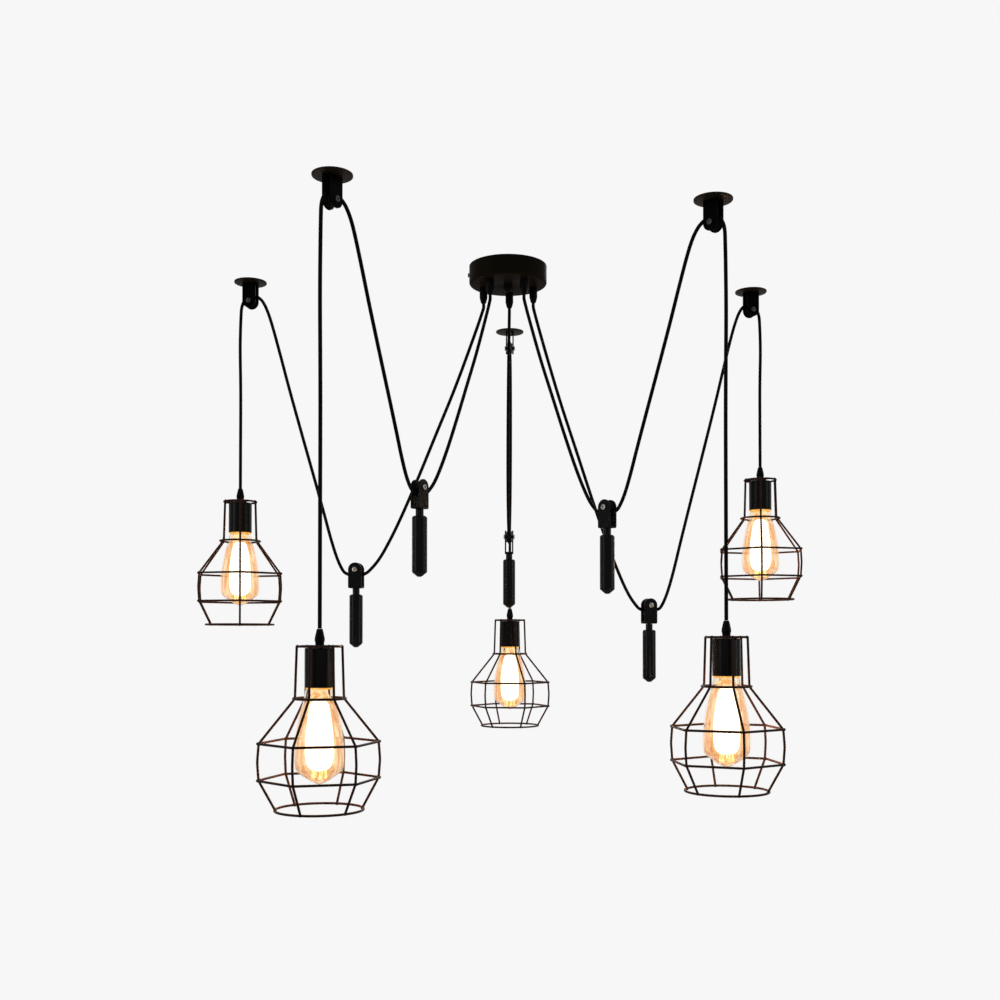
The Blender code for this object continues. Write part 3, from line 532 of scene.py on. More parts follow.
glass("amber_glass", (1.0, 0.9, 0.76), 0.02, 1.25, (1.0, 0.86, 0.66))
glass("clear_glass", (1.0, 0.97, 0.92), 0.03, 1.45, (1.0, 0.98, 0.95))
light_body("glare_core", (1.0, 1.0, 0.98), 5.0, 1.0, cast=(1.0, 0.66, 0.44, 560.0))
light_body("glare_rim", (0.85, 0.48, 0.12), 1.3, 0.3, bright=(1.0, 0.95, 0.5))
light_body("glare_halo", (0.8, 0.27, 0.05), 1.15, 0.46, bright=(1.0, 0.94, 0.66))
light_body("glare_edge", (1.0, 0.62, 0.34), 1.0, 0.1)
light_body("mouth_glow", (1.0, 0.4, 0.06), 1.0, 0.85, bright=(1.0, 0.66, 0.16))
light_body("filament_glow", (1.0, 0.8, 0.22), 4.0, 1.0)
print("glass and light ready")

# %% [markdown]
# ## The arms
# All five arms are the same kit set at different lengths. One table holds what differs: the
# direction on the ceiling, how far out the pulley sits, how far outside it the lamp's cord
# hangs, how low lamp and weight hang, and how the cage is turned. Each shape is made once in
# an arm's own frame, with X pointing outwards, and then turned and moved into place.

# %% The table of arms
# Degrees in the first three columns, metres in the rest. share is where the weight hangs, as a
# part of the reach, and aside is how far the rear arm's cord bows out of its plane.
COLUMNS = ("direction", "grip", "turn", "reach", "offset", "lamp", "weight", "share", "aside")
ARMS = {
    "front_left": (-121.4, -131, 14.5, 0.454, 0.023, 0.635, 0.3875, 0.556, 0),
    "front_right": (-45.8, -54, 36, 0.4185, 0.02, 0.6228, 0.4107, 0.523, 0),
    "left": (169.2, 157, 43, 0.4597, 0.0175, 0.386, 0.4946, 0.5767, 0),
    "right": (17.9, 18, 19.5, 0.4598, 0.0175, 0.3402, 0.5549, 0.561, 0),
    "rear": (89.5, 87, -8, 0.416, 0.018, 0.588, 0.422, 0.57, 0.0024),
}
ARMS = {name: dict(zip(COLUMNS, row)) for name, row in ARMS.items()}
CANOPY_RADIUS, CANOPY_HEIGHT, CANOPY_WALL, CANOPY_CORNER = 0.065, 0.032, 0.0012, 0.004
GRIP_CIRCLE, GRIP_RADIUS, GRIP_TIP = 0.045, 0.0067, 0.0042
GRIP_LENGTH, GRIP_TAPER, LAMP_GRIP = 0.0255, 0.008, 0.0215
PLATE_RADIUS, PLATE_THICKNESS = 0.028, 0.0025
YOKE_WIDTH, YOKE_THICKNESS, YOKE_HEIGHT = 0.024, 0.016, 0.0445
SLOT_WIDTH, SLOT_DEPTH, BOLT_TO_END = 0.0109, 0.0413, 0.0125
CORD_RADIUS, CORD_JACKET, GROOVE_RADIUS, WIRE_RADIUS, GAP = 0.0025, 0.00275, 0.0078, 0.0014, 0.0003
CORD_HOLE = CORD_RADIUS + 0.00005
CORD_RUN = GROOVE_RADIUS + CORD_RADIUS + GAP
CEILING_BOLT = -(PLATE_THICKNESS + YOKE_HEIGHT - BOLT_TO_END)
for arm in ARMS.values():
    arm["matrix"] = spin(arm["direction"])
    arm["weight_x"], arm["weight_z"] = arm["reach"] * arm["share"], -arm["weight"] - BOLT_TO_END


def in_arm(shape, arm, x, z):
    """A shape made round its own origin, put at distance x along the arm and height z."""
    return moved(shape, arm["matrix"], arm["matrix"] @ (x, 0, z))


def at_lamp(shape, arm, turn=0.0):
    """A shape made round the middle of the cage's top ring, put at that lamp."""
    place = arm["matrix"] @ (arm["reach"] + arm["offset"], 0, -arm["lamp"])
    return moved(shape, spin(turn), place)


# %% [markdown]
# ## The cords
# Each cord is one unbroken length that the photograph shows from end to end. It leaves its
# grip straight down, swings out to the weight, passes under the weight's wheel in a short bow,
# climbs to the ceiling, arches loosely over the pulley and falls straight to the lamp.
#
# When a lamp moves, the stretches beside the weight change shape and the last one changes
# length, so the cord is made in three pieces that meet end to end. Each piece stays where it is
# made, on no body.

# %% The cord's route
# Shares of a stretch's drop and of its reach
FROM_CANOPY = [(0.15, 0.118), (0.31, 0.254), (0.48, 0.413), (0.64, 0.563), (0.78, 0.701),
               (0.88, 0.811), (0.955, 0.91)]
FROM_PULLEY = [(0.05, 0.062), (0.15, 0.158), (0.31, 0.302), (0.48, 0.462), (0.64, 0.615),
               (0.78, 0.747), (0.88, 0.839), (0.955, 0.922)]
# Shares of the drop to the lamp, and metres outwards
FALL = [(0.08, 0.0009), (0.2, 0.0014), (0.38, 0.0004), (0.5, 0.0), (0.75, 0.0)]
# Shares of half the width and of the height of the arch over the pulley, and of the bow
OUTER_ARCH = [(0.27, 0.05), (0.52, 0.2), (0.74, 0.44), (0.9, 0.73), (0.97, 1.0)]
INNER_ARCH = [(0.27, 0.05), (0.52, 0.2), (0.75, 0.465), (1.0, 1.0)]
BOW = [(0.3, 0.08), (0.62, 0.34), (1.0, 1.0)]
OUTER_HEIGHT, INNER_SPREAD, INNER_HEIGHT = 0.025, 0.073, 0.0226
BOW_WIDTH, BOW_RISE, CORD_STEP = 0.022, 0.0072, 0.004


# %% From the tables to points
def between(start, end, table):
    """Points on the way between two places, from shares of the drop and of the reach."""
    return [start + (end - start) * (out, out, down) for down, out in table]


def beside(middle, width, height, table):
    """Points beside the middle of a bow or an arch, from shares of its width and height."""
    return [middle + (side * width, 0, rise * height) for side, rise in table]


def cord_route(arm):
    """Route points in the arm's frame, and the numbers of the bow's low point and arch's end."""
    spread = math.radians(arm["grip"] - arm["direction"])
    grip = np.array([GRIP_CIRCLE * math.cos(spread), GRIP_CIRCLE * math.sin(spread),
                     -(CANOPY_HEIGHT + GRIP_LENGTH + GAP)])
    below = grip - (0, 0, GRIP_TAPER)
    lowest = np.array([arm["weight_x"], 0, arm["weight_z"] - CORD_RUN])
    bow_in, bow_out = lowest + (-BOW_WIDTH, 0, BOW_RISE), lowest + (BOW_WIDTH, 0, BOW_RISE)
    highest = np.array([arm["reach"], 0, CEILING_BOLT + CORD_RUN])
    arch_width = INNER_SPREAD * (arm["reach"] - arm["weight_x"]) / arm["weight"]
    arch_in = highest - (arch_width, 0, INNER_HEIGHT)
    to_bow = [grip, below, *between(below, bow_in, FROM_CANOPY),
              *reversed(beside(lowest, -BOW_WIDTH, BOW_RISE, BOW))]
    to_arch = [lowest, *beside(lowest, BOW_WIDTH, BOW_RISE, BOW),
               *reversed(between(arch_in, bow_out, FROM_PULLEY)),
               *reversed(beside(highest, -arch_width, -INNER_HEIGHT, INNER_ARCH)), highest,
               *beside(highest, arm["offset"], -OUTER_HEIGHT, OUTER_ARCH)]
    leave = np.array([arm["reach"] + arm["offset"], 0, to_arch[-1][2] - GRIP_TAPER])
    land = np.array([leave[0], 0, -arm["lamp"] + WIRE_RADIUS + LAMP_GRIP + 2 * GAP])
    fall = [leave + (out, 0, (land[2] - leave[2]) * down) for down, out in FALL]
    route = np.array([*to_bow, *to_arch, leave, *fall, land])
    bow_number, arch_number = len(to_bow), len(to_bow) + len(to_arch)
    # A soft cord is never quite flat in its plane: each stretch bows aside like a half sine
    for first, last, side in ((1, bow_number - len(BOW), 1),
                              (bow_number + len(BOW),
                               arch_number - len(INNER_ARCH) - len(OUTER_ARCH), -1)):
        share = np.linspace(0, 1, last - first + 1)
        route[first:last + 1, 1] += side * arm["aside"] * np.sin(np.pi * share)
    return route, (bow_number, arch_number), (bow_in, bow_out, arch_in)


# %% Cords, a piece for each stretch
CORD_LENGTHS = {                     # metres: canopy to weight, weight to pulley, pulley to lamp
    "front_left": (0.419, 0.499, 0.555), "front_right": (0.425, 0.517, 0.542),
    "left": (0.521, 0.59, 0.306), "right": (0.573, 0.648, 0.26), "rear": (0.443, 0.517, 0.508)}
cord_total = 0.0
for name, arm in ARMS.items():
    route, numbers, (bow_in, bow_out, arch_in) = cord_route(arm)
    turn = arm["matrix"]
    path = smooth_path(route, CORD_STEP) @ turn.T
    low, high = (int(np.argmin(np.linalg.norm(path - turn @ route[number], axis=1)))
                 for number in numbers)
    weight = f"{name}_weight"
    for length, (label, line, first, second, start, end) in zip(CORD_LENGTHS[name], (
            ("inner", path[:low + 1], "root", weight, turn @ route[1], turn @ bow_in),
            ("outer", path[low:high + 1], weight, "root", turn @ bow_out, turn @ arch_in),
            ("drop", path[high:], "root", f"{name}_lamp", path[high], path[-1]))):
        shape = tube(line, CORD_JACKET, turn @ (0, 1, 0), sides=20)
        cord = piece(f"{name}_cord_{label}", shape, "cord_jacket", None,
                     [f"{name}_cord"])
        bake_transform(cord)
        measured = float(np.linalg.norm(np.diff(line, axis=0), axis=1).sum())
        cord_total += measured
        print(name, label, round(measured, 4), "m")
print("cord in all:", round(cord_total, 3), "m")

# %% [markdown]
# ## The canopy
# The canopy is a spun steel cup, open at the top where it meets the ceiling. Its profile runs
# down the outside, round the soft lower edge, across the underside to the hole for the stud,
# and back up the inside, so one closed loop gives it a real wall. The cord grips are moulded,
# with a barrel, a collar and a tapered tip that the cord leaves through. The strap and the
# terminal block are out of sight inside, so they keep their solids and only get a finish.

# %% Canopy, grips, nut and screw
STUD_HOLE, STUD_DEPTH = 0.0043, 0.0035
inside, underside = CANOPY_RADIUS - CANOPY_WALL, -CANOPY_HEIGHT
canopy_profile = rounded([
    (CANOPY_RADIUS - 0.0006, 0, 0), (CANOPY_RADIUS, -0.0006, 0.0004),
    (CANOPY_RADIUS, underside, CANOPY_CORNER), (STUD_HOLE, underside, 0.0004),
    (STUD_HOLE, underside + CANOPY_WALL, 0.0003),
    (inside, underside + CANOPY_WALL, CANOPY_CORNER - CANOPY_WALL), (inside, 0, 0)], steps=9)
piece("canopy_shell", turned(canopy_profile, 160, closed=True), "canopy_paint", "root",
      ["canopy_cup"])

barrel, grip_end = GRIP_RADIUS - 0.0003, underside - GRIP_LENGTH
canopy_grip = turned(rounded([
    (0, underside + 0.001, 0), (barrel, underside + 0.001, 0),
    (barrel, underside - 0.0046, 0.0002), (GRIP_RADIUS, underside - 0.0052, 0.0004),
    (GRIP_RADIUS, grip_end + GRIP_TAPER + 0.0012, 0.002),
    (GRIP_TIP + 0.0004, grip_end + 0.0012, 0.0012), (GRIP_TIP - 0.0004, grip_end, 0.0006),
    (CORD_HOLE, grip_end, 0.0002), (CORD_HOLE, grip_end + 0.004, 0),
    (0, grip_end + 0.004, 0)], steps=4), 48)
grips = joined([moved(canopy_grip, offset=spin(arm["grip"]) @ (GRIP_CIRCLE, 0, 0))
                for arm in ARMS.values()])
piece("canopy_grips", grips, "grip_plastic", "root", ["canopy_cup"])

nut_top, nut_height, nut_radius = underside - GAP, 0.0105, 0.0075
nut = turned(rounded([
    (0, nut_top - STUD_DEPTH, 0), (STUD_HOLE, nut_top - STUD_DEPTH, 0), (STUD_HOLE, nut_top, 0),
    (nut_radius, nut_top, 0.0003), (nut_radius, nut_top - nut_height * 0.6, 0.0024),
    (nut_radius * 0.6, nut_top - nut_height, 0.0018), (0, nut_top - nut_height, 0)], steps=6))
piece("canopy_cap_nut", nut, "canopy_paint", "root", ["canopy_nut"])


def bolt_head(radius, height, key, depth, sides=48):
    """Rows of a domed head with a six-sided socket, from the socket's floor out to the seat.
    A hexagon's side is at half the key's width / cos(angle from the side's middle)."""
    angle = np.linspace(0, 2 * np.pi, sides, endpoint=False)
    hexagon = key / 2 / np.cos((angle + np.pi / 6) % (np.pi / 3) - np.pi / 6)
    circle = radius * np.ones(sides)
    radii = [0 * circle, hexagon, hexagon, 0.78 * circle, 0.93 * circle, circle, circle]
    heights = [height - depth, height - depth, height, height, height * 0.86, height * 0.55, 0]
    return rings(radii, heights, sides)


SCREW_RADIUS, SCREW_HEAD, SCREW_LENGTH, SCREW_DROP = 0.0018, 0.0035, 0.008, 0.015
head = bolt_head(SCREW_HEAD, height=0.002, key=0.002, depth=0.0012)
neck = head[-1:] * (SCREW_RADIUS / SCREW_HEAD, SCREW_RADIUS / SCREW_HEAD, 1)
end = neck - (0, 0, SCREW_LENGTH)
turn_to_side = np.array([[0, 0, -1.0], [0, 1, 0], [1, 0, 0]])
side_screw = moved(surface(np.concatenate([head, neck, end, end * (0, 0, 1)])), turn_to_side,
                   (-CANOPY_RADIUS - GAP, 0, -SCREW_DROP))
piece("canopy_side_screw_head", side_screw, "canopy_paint", "root",
      ["canopy_side_screw"])

for node, finish in (("mounting_bar", "zinc_plate"), ("terminal_block", "cream_plastic")):
    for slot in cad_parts[node].material_slots:
        slot.material = finishes[finish]
print("canopy dressed")

# %% [markdown]
# ## Pulleys
# The same block hangs from the ceiling plate and stands on each weight: a fork with a round
# end, a bolt across it and a grooved wheel between its cheeks. The fork is a deep U of strap,
# open almost to its foot. Its end is cut by a circle round the bolt, so at distance x from the
# middle every upper point stops at the height sqrt(radius^2 - x^2).

# %% Yoke, wheel and bolt
def yoke_shape(corner):
    """The fork with its bolt at the origin, open upwards, X along the wheel's plane. Its foot
    is flat and rises at both corners by corner - sqrt(corner^2 - overshoot^2)."""
    radius, cheek, slot = YOKE_WIDTH / 2, YOKE_THICKNESS / 2, SLOT_WIDTH / 2
    angle = np.linspace(-np.pi / 2, np.pi / 2, 41)
    x, top = radius * np.sin(angle), radius * np.cos(angle)
    over = np.clip(np.abs(x) - (radius - corner), 0, corner)
    foot = BOLT_TO_END - YOKE_HEIGHT + corner - np.sqrt(corner**2 - over**2)
    floor = BOLT_TO_END - SLOT_DEPTH + 0 * top
    y = np.array([-cheek, -cheek, -slot, -slot, slot, slot, cheek, cheek])
    z = np.stack([foot, top, top, floor, floor, top, top, foot], 1)
    return surface(np.stack([x[:, None] + 0 * y, y + 0 * x[:, None], z], 2), caps=True)


def wheel_shape():
    """A sheave about Y. The groove's depth grows as one minus the square of the distance from
    its middle."""
    rim, half, groove, bore = 0.0104, 0.0052, 0.0034, 0.0028
    across = np.linspace(-1, 1, 13)
    dip = np.stack([GROOVE_RADIUS + (rim - GROOVE_RADIUS) * across**2, groove * across], 1)
    face = [(bore, -half), (bore + 0.0012, -half), (bore + 0.0015, -half + 0.0004),
            (rim - 0.0022, -half + 0.0004), (rim - 0.0018, -half), (rim - 0.0002, -half),
            (rim, -half + 0.0002)]
    back = [(radius, -height) for radius, height in reversed(face)]
    return moved(turned([*face, *dip, *back], 72, closed=True), TURN_Z_TO_Y)


def bolt_shape():
    """A bolt about Y with the same low head, with a six-sided socket, on both ends."""
    seat, shank, radius = YOKE_THICKNESS / 2 + GAP, 0.0025, 0.0045
    head = bolt_head(radius, height=0.002, key=0.0026, depth=0.0011) + (0, 0, seat)
    half = np.concatenate([head, head[-1:] * (shank / radius, shank / radius, 1)])
    return moved(surface(np.concatenate([half, half[::-1] * (1, 1, -1)])), TURN_Z_TO_Y)


upside_down = np.diag([1.0, -1.0, -1.0])
ceiling_yoke = moved(yoke_shape(corner=0.0004), upside_down)
weight_yoke = yoke_shape(corner=0.0026)
wheel, bolt = wheel_shape(), bolt_shape()
plate = turned(rounded([(0, 0, 0), (PLATE_RADIUS, 0, 0.0002),
                        (PLATE_RADIUS, -PLATE_THICKNESS, 0.0011), (0, -PLATE_THICKNESS, 0)],
                       steps=4), 128)
print("points of wheel and bolt:", len(wheel["points"]), len(bolt["points"]))

# %% Plates, forks, wheels and bolts of each arm
for name, arm in ARMS.items():
    piece(f"{name}_ceiling_plate", in_arm(plate, arm, arm["reach"], 0), "plate_paint", "root",
          [f"{name}_ceiling_yoke"])
    for block, body, yoke, fork_finish, bolt_finish, place in (
            (f"{name}_ceiling", "root", ceiling_yoke, "yoke_plastic", "dull_nickel",
             (arm["reach"], CEILING_BOLT)),
            (f"{name}_weight", f"{name}_weight", weight_yoke, "fork_plastic", "nickel",
             (arm["weight_x"], arm["weight_z"]))):
        piece(f"{block}_fork", in_arm(yoke, arm, *place), fork_finish, body,
              [f"{block}_yoke"], bevel=0.001)
        piece(f"{block}_sheave", in_arm(wheel, arm, *place), "wheel_nylon", f"{block}_pulley",
              [f"{block}_wheel"])
        piece(f"{block}_bolt", in_arm(bolt, arm, *place), bolt_finish, body,
              [f"{block}_axle"], smooth_angle=30)
print("pulleys dressed")

# %% [markdown]
# ## Counterweights
# Each weight is a turned steel rod with a thin neck up to its fork, a small chamfer round the
# top and a blunt point below. It is painted, in the smoothest of the blacks, so that the soft
# boxes draw clear upright streaks on it.

# %% Rods
NECK_RADIUS, NECK_LENGTH, PEG_RADIUS, PEG_LENGTH = 0.006, 0.0104, 0.0032, 0.0042
ROD_RADIUS, ROD_LENGTH, ROD_POINT = 0.0114, 0.0905, 0.0068
neck_top = BOLT_TO_END - YOKE_HEIGHT - GAP
rod_top = neck_top - NECK_LENGTH
tip = rod_top - ROD_LENGTH
rod = turned(rounded([
    (0, tip, 0), (0.003, tip, 0.0026), (ROD_RADIUS, tip + ROD_POINT, 0.0034),
    (ROD_RADIUS, rod_top - 0.0022, 0.002), (ROD_RADIUS - 0.0018, rod_top, 0.001),
    (NECK_RADIUS, rod_top, 0.0006), (NECK_RADIUS, neck_top, 0.0005), (PEG_RADIUS, neck_top, 0),
    (PEG_RADIUS, neck_top + PEG_LENGTH, 0.0005), (0, neck_top + PEG_LENGTH, 0)]), 96)
for name, arm in ARMS.items():
    piece(f"{name}_weight_bar", in_arm(rod, arm, arm["weight_x"], arm["weight_z"]),
          "weight_paint", f"{name}_weight", [f"{name}_weight_rod"])
print("weights dressed")

# %% [markdown]
# ## Lamp holders
# The cord ends in a moulded grip that widens to a belly and draws in again to the holder's
# neck. Below it a plain steel cup hides the socket. The cup is open below, and its inside is
# what glows orange in the photograph, so it has a real wall, a ceramic socket inside and the
# bulb's screw cap in that.

# %% Grip, cup and socket
CLAMP = WIRE_RADIUS + GAP
HOLDER_RADIUS, HOLDER_LENGTH, HOLDER_WALL, HOLDER_EDGE = 0.01975, 0.0525, 0.0013, 0.0022
SOCKET_RADIUS, SOCKET_CEILING, SOCKET_DEPTH = 0.0142, 0.0045, 0.0175
cup_top, cup_mouth, cup_inner = -CLAMP, -CLAMP - HOLDER_LENGTH, HOLDER_RADIUS - HOLDER_WALL
lamp_grip_top, cup_ceiling = CLAMP + LAMP_GRIP, cup_top - SOCKET_CEILING
socket_mouth = cup_ceiling - SOCKET_DEPTH - 0.006

lamp_grip = turned(rounded([
    (CORD_HOLE, CLAMP + 0.001, 0), (CORD_HOLE, lamp_grip_top, 0.0003),
    (0.0037, lamp_grip_top, 0.001), (0.0046, lamp_grip_top - 0.003, 0.003),
    (0.0064, CLAMP + 0.0102, 0.004), (0.0067, CLAMP + 0.008, 0.0012),
    (0.0067, CLAMP + 0.0062, 0.0012), (0.0058, CLAMP + 0.003, 0.002), (0.0059, CLAMP, 0.0004),
    (0.005, CLAMP, 0), (0.005, cup_top - 0.001, 0), (0.0, cup_top - 0.001, 0)]))
lamp_cup = turned(rounded([
    (0.0, cup_top, 0), (HOLDER_RADIUS, cup_top, HOLDER_EDGE), (HOLDER_RADIUS, cup_mouth, 0.0005),
    (cup_inner, cup_mouth, 0.0004), (cup_inner, cup_ceiling, 0.001), (0.0, cup_ceiling, 0)],
    steps=6), 128)
lamp_socket = turned(rounded([
    (0.0, cup_ceiling - 0.0002, 0), (cup_inner - 0.0004, cup_ceiling - 0.0002, 0.0004),
    (cup_inner - 0.0004, socket_mouth, 0.0008), (SOCKET_RADIUS, socket_mouth, 0.0006),
    (SOCKET_RADIUS, cup_ceiling - 0.0008, 0), (0.0, cup_ceiling - 0.0008, 0)], steps=4), 96)

# %% [markdown]
# ## Bulbs
# The glass is a long teardrop. Its profile is a smooth curve through a few shares of its
# length and width, taken from the photograph: narrow for the first fifth, widest at three
# quarters, and drawn to a blunt point below. The filament is one fine wire, laced up and down
# between two rings of hooks on a glass stem, with its lower bends showing below the glare.

# %% Glass, cap and stem
BULB_TOP, BULB_LENGTH, BULB_RADIUS, GLASS_WALL = cup_ceiling - GAP, 0.1755, 0.032, 0.0007
CAP_RADIUS, CAP_LENGTH, THREAD_PITCH, THREAD_DEPTH = 0.0132, 0.0255, 0.0036, 0.0006
cap_end, bulb_tip = BULB_TOP - CAP_LENGTH, BULB_TOP - BULB_LENGTH
# Shares of the glass's length and of its radius
GLASS = [(0.0, 0.4), (0.05, 0.44), (0.12, 0.51), (0.2, 0.6), (0.29, 0.69), (0.38, 0.785),
         (0.53, 0.92), (0.64, 0.985), (0.74, 1.0), (0.82, 0.995), (0.86, 0.96), (0.9, 0.81),
         (0.935, 0.6), (0.966, 0.375), (0.988, 0.17), (1.0, 0.0)]
# Shares of the glass's length, and radii in metres
STEM = [(0.0, 0.0), (0.0, 0.0095), (0.03, 0.0085), (0.09, 0.0042), (0.16, 0.003),
        (0.48, 0.0022), (0.505, 0.003), (0.515, 0.0)]


def glass_height(share):
    """Height at a share of the glass's length, from the cap down."""
    return cap_end + (bulb_tip - cap_end) * share


def smooth_profile(table, longest, radius=BULB_RADIUS):
    """A smooth profile of radius and height from shares of the glass's length and a radius."""
    return smooth_path([(radius * width, glass_height(down)) for down, width in table], longest)


def screw_cap(sides=72):
    """The cap's thread: radius + depth * cos(turns * height - angle), so that the crest climbs
    one pitch in each turn. The thread fades out at both ends."""
    angle = np.linspace(0, 2 * np.pi, sides, endpoint=False)
    share = np.linspace(0, 1, 66)[:, None]
    start, end = cap_end + 0.0008, BULB_TOP - 0.003
    height = start + (end - start) * share
    fade = np.clip(np.minimum(share, 1 - share) * 8, 0, 1)
    wave = np.cos(2 * np.pi * height / THREAD_PITCH - angle)
    body = rings(CAP_RADIUS - 0.0009 + THREAD_DEPTH * fade * wave, height, sides)
    contact = rings([0.008, 0.0045, 0.004, 0.0],
                    [BULB_TOP - 0.0012, BULB_TOP - 0.0006, BULB_TOP, BULB_TOP], sides)
    return surface(np.concatenate([rings([0.0], [start], sides), body, contact]))


# The inner wall is the outer one moved along its normal (dy, -dx)
outer_wall = smooth_profile(GLASS, 0.0022)
travel = unit(np.gradient(outer_wall, axis=0))
inner_wall = outer_wall + travel[:, ::-1] * (GLASS_WALL, -GLASS_WALL)
inner_wall[-1] = (0.0, bulb_tip + GLASS_WALL)
inner_wall[:, 0] = np.clip(inner_wall[:, 0], 0, None)
bulb_glass = turned(np.vstack([outer_wall[::-1], inner_wall]), 96)
stem = turned(smooth_profile(STEM, 0.0015, radius=1.0), 32)
print("glass points:", len(bulb_glass["points"]))

# %% Filament
# From hook to hook the wire is straight, but for a ripple that grows downwards.
HOOKS, RIPPLES, FILAMENT_RADIUS = 14, 12, 0.00045
INNER_HOOKS, OUTER_HOOKS, LEAST_RIPPLE, MORE_RIPPLE = 0.006, 0.0098, 0.0008, 0.0012
top, foot, slack_start = (glass_height(share) for share in (0.26, 0.945, 0.8))
SLANT = (0.31, 0.17, 0.93)              # a direction that no part of the wire runs along
upper = np.arange(HOOKS) % 2 == 0
hook_angle = np.arange(HOOKS) * 2 * np.pi / HOOKS
hook_radius = np.where(upper, INNER_HOOKS, OUTER_HOOKS)
hooks = np.stack([hook_radius * np.cos(hook_angle), hook_radius * np.sin(hook_angle),
                  np.where(upper, top, foot)], 1)
t = np.linspace(0, 1, 40, endpoint=False)[:, None]
wire = hooks[:, None] + (np.roll(hooks, -1, 0) - hooks)[:, None] * t
slack = np.clip((slack_start - wire[..., 2:]) / (slack_start - bulb_tip), 0, 1)
ripple = (LEAST_RIPPLE + MORE_RIPPLE * slack) * np.sin(t * 2 * np.pi * RIPPLES)
wire = wire + unit(wire[..., [1, 0, 2]] * (-1, 1, 0)) * ripple
filament = tube(wire.reshape(-1, 3), FILAMENT_RADIUS, SLANT, sides=6, closed=True)
print("filament points:", len(filament["points"]))

# %% Glare
# The same shares as for the glass. The edge is a closed loop, down its outside and back up.
CORE = [(0.255, 0.0), (0.262, 0.2), (0.28, 0.32), (0.33, 0.4), (0.4, 0.46), (0.5, 0.53),
        (0.6, 0.575), (0.7, 0.585), (0.78, 0.56), (0.83, 0.5), (0.865, 0.36), (0.88, 0.16),
        (0.885, 0.0)]
RIM = [(0.03, 0.0), (0.032, 0.2), (0.1, 0.26), (0.2, 0.34), (0.3, 0.44), (0.4, 0.55),
       (0.5, 0.63), (0.6, 0.68), (0.7, 0.7), (0.78, 0.69), (0.84, 0.62), (0.89, 0.46),
       (0.92, 0.36), (0.95, 0.27), (0.972, 0.15), (0.98, 0.0)]
HALO = [(0.185, 0.0), (0.188, 0.24), (0.22, 0.42), (0.27, 0.585), (0.32, 0.675), (0.38, 0.745),
        (0.53, 0.88), (0.64, 0.945), (0.74, 0.962), (0.82, 0.957), (0.86, 0.92), (0.9, 0.77),
        (0.935, 0.565), (0.966, 0.335), (0.982, 0.15), (0.99, 0.0)]
EDGE = [(0.3, 0.72), (0.34, 0.8), (0.42, 0.885), (0.53, 0.98), (0.64, 1.05), (0.74, 1.068),
        (0.82, 1.062), (0.87, 1.0), (0.9, 0.87), (0.9, 0.83), (0.87, 0.955), (0.82, 1.018),
        (0.74, 1.024), (0.64, 1.008), (0.53, 0.945), (0.42, 0.85), (0.34, 0.765)]
# The mouth glow is painted light: a part-clear orange ring just inside the cup's mouth that
# stands for the bulb's light on the cup's inside. Radius and height from the cup's mouth, in metres
MOUTH = [(0.0174, 0.001), (0.0183, 0.001), (0.0184, -0.0008), (0.0181, -0.0021),
         (0.0178, -0.0018), (0.0176, -0.0006)]
core, rim, halo = (turned(smooth_profile(table, 0.003)) for table in (CORE, RIM, HALO))
edge = turned(smooth_profile(EDGE + EDGE[:1], 0.003)[:-1], closed=True)
mouth = turned(np.array(MOUTH) + (0, cup_mouth), closed=True)
print("glare from", EDGE[0][0], "of the glass's length down")

# %% The pieces of each lamp
HOLDER_PIECES = {"grip": (lamp_grip, "grip_plastic"), "cup": (lamp_cup, "holder_paint"),
                 "socket": (lamp_socket, "socket_ceramic")}
BULB_PIECES = {"glass": (bulb_glass, "amber_glass"), "cap": (screw_cap(), "cap_brass"),
               "stem": (stem, "clear_glass"), "filament": (filament, "filament_glow"),
               "core": (core, "glare_core"), "rim": (rim, "glare_rim"),
               "halo": (halo, "glare_halo"), "edge": (edge, "glare_edge"),
               "mouth": (mouth, "mouth_glow")}
for name, arm in ARMS.items():
    for label, (shape, finish) in HOLDER_PIECES.items():
        piece(f"{name}_{label}", at_lamp(shape, arm), finish, f"{name}_lamp",
              [f"{name}_lamp_holder"])
    for label, (shape, finish) in BULB_PIECES.items():
        piece(f"{name}_bulb_{label}", at_lamp(shape, arm), finish, f"{name}_lamp",
              [f"{name}_bulb"])
print("lamps dressed")

# %% [markdown]
# ## Cages
# The cage is welded from round wire: six bent uprights, a top ring inside them, a neck ring,
# two six-sided rings and a mouth ring outside them. On the real cage each six-sided ring is
# bent with tight corners that stand out past the uprights, and every crossing has a small
# bead of weld. A wire's path is its corner points with a short bend at each, and the tube
# helper does the rest.

# %% Cage wires
TOP_RING, NECK_RING, BODY_RING, MOUTH_RING = 0.0277, 0.0342, 0.0806, 0.058
NECK_DROP, SHOULDER_DROP, WAIST_DROP, MOUTH_DROP = 0.0687, 0.1267, 0.1747, 0.2147
BOW_OUT, WASHER_RING, PAINTED_WIRE, BEAD_RADIUS = 0.0018, 0.0084, 0.0017, 0.0023
UPRIGHT_BEND, RING_BEND = 0.0045, 0.0032
WELD = WIRE_RADIUS * 1.55               # from a ring's middle line to an upright's


def bent(points, bend, closed=False, steps=7):
    """A path whose corners are replaced by short curves: each is the three-point curve
    (1-t)^2 * before + 2t(1-t) * corner + t^2 * after, starting a bend's length from it."""
    points = np.asarray(points, dtype=float)
    t = np.linspace(0, 1, steps)[:, None]
    path = []
    for back, corner, on in zip(np.roll(points, 1, 0), points, np.roll(points, -1, 0)):
        start, end = corner + unit(back - corner) * bend, corner + unit(on - corner) * bend
        path.append((1 - t)**2 * start + 2 * t * (1 - t) * corner + t**2 * end)
    if not closed:
        path[0], path[-1] = points[:1], points[-1:]
    return np.concatenate(path)


def ring(radius, drop, count):
    """Points round a level circle, so far below the cage's top."""
    return rings([radius], [-drop], count)[0]


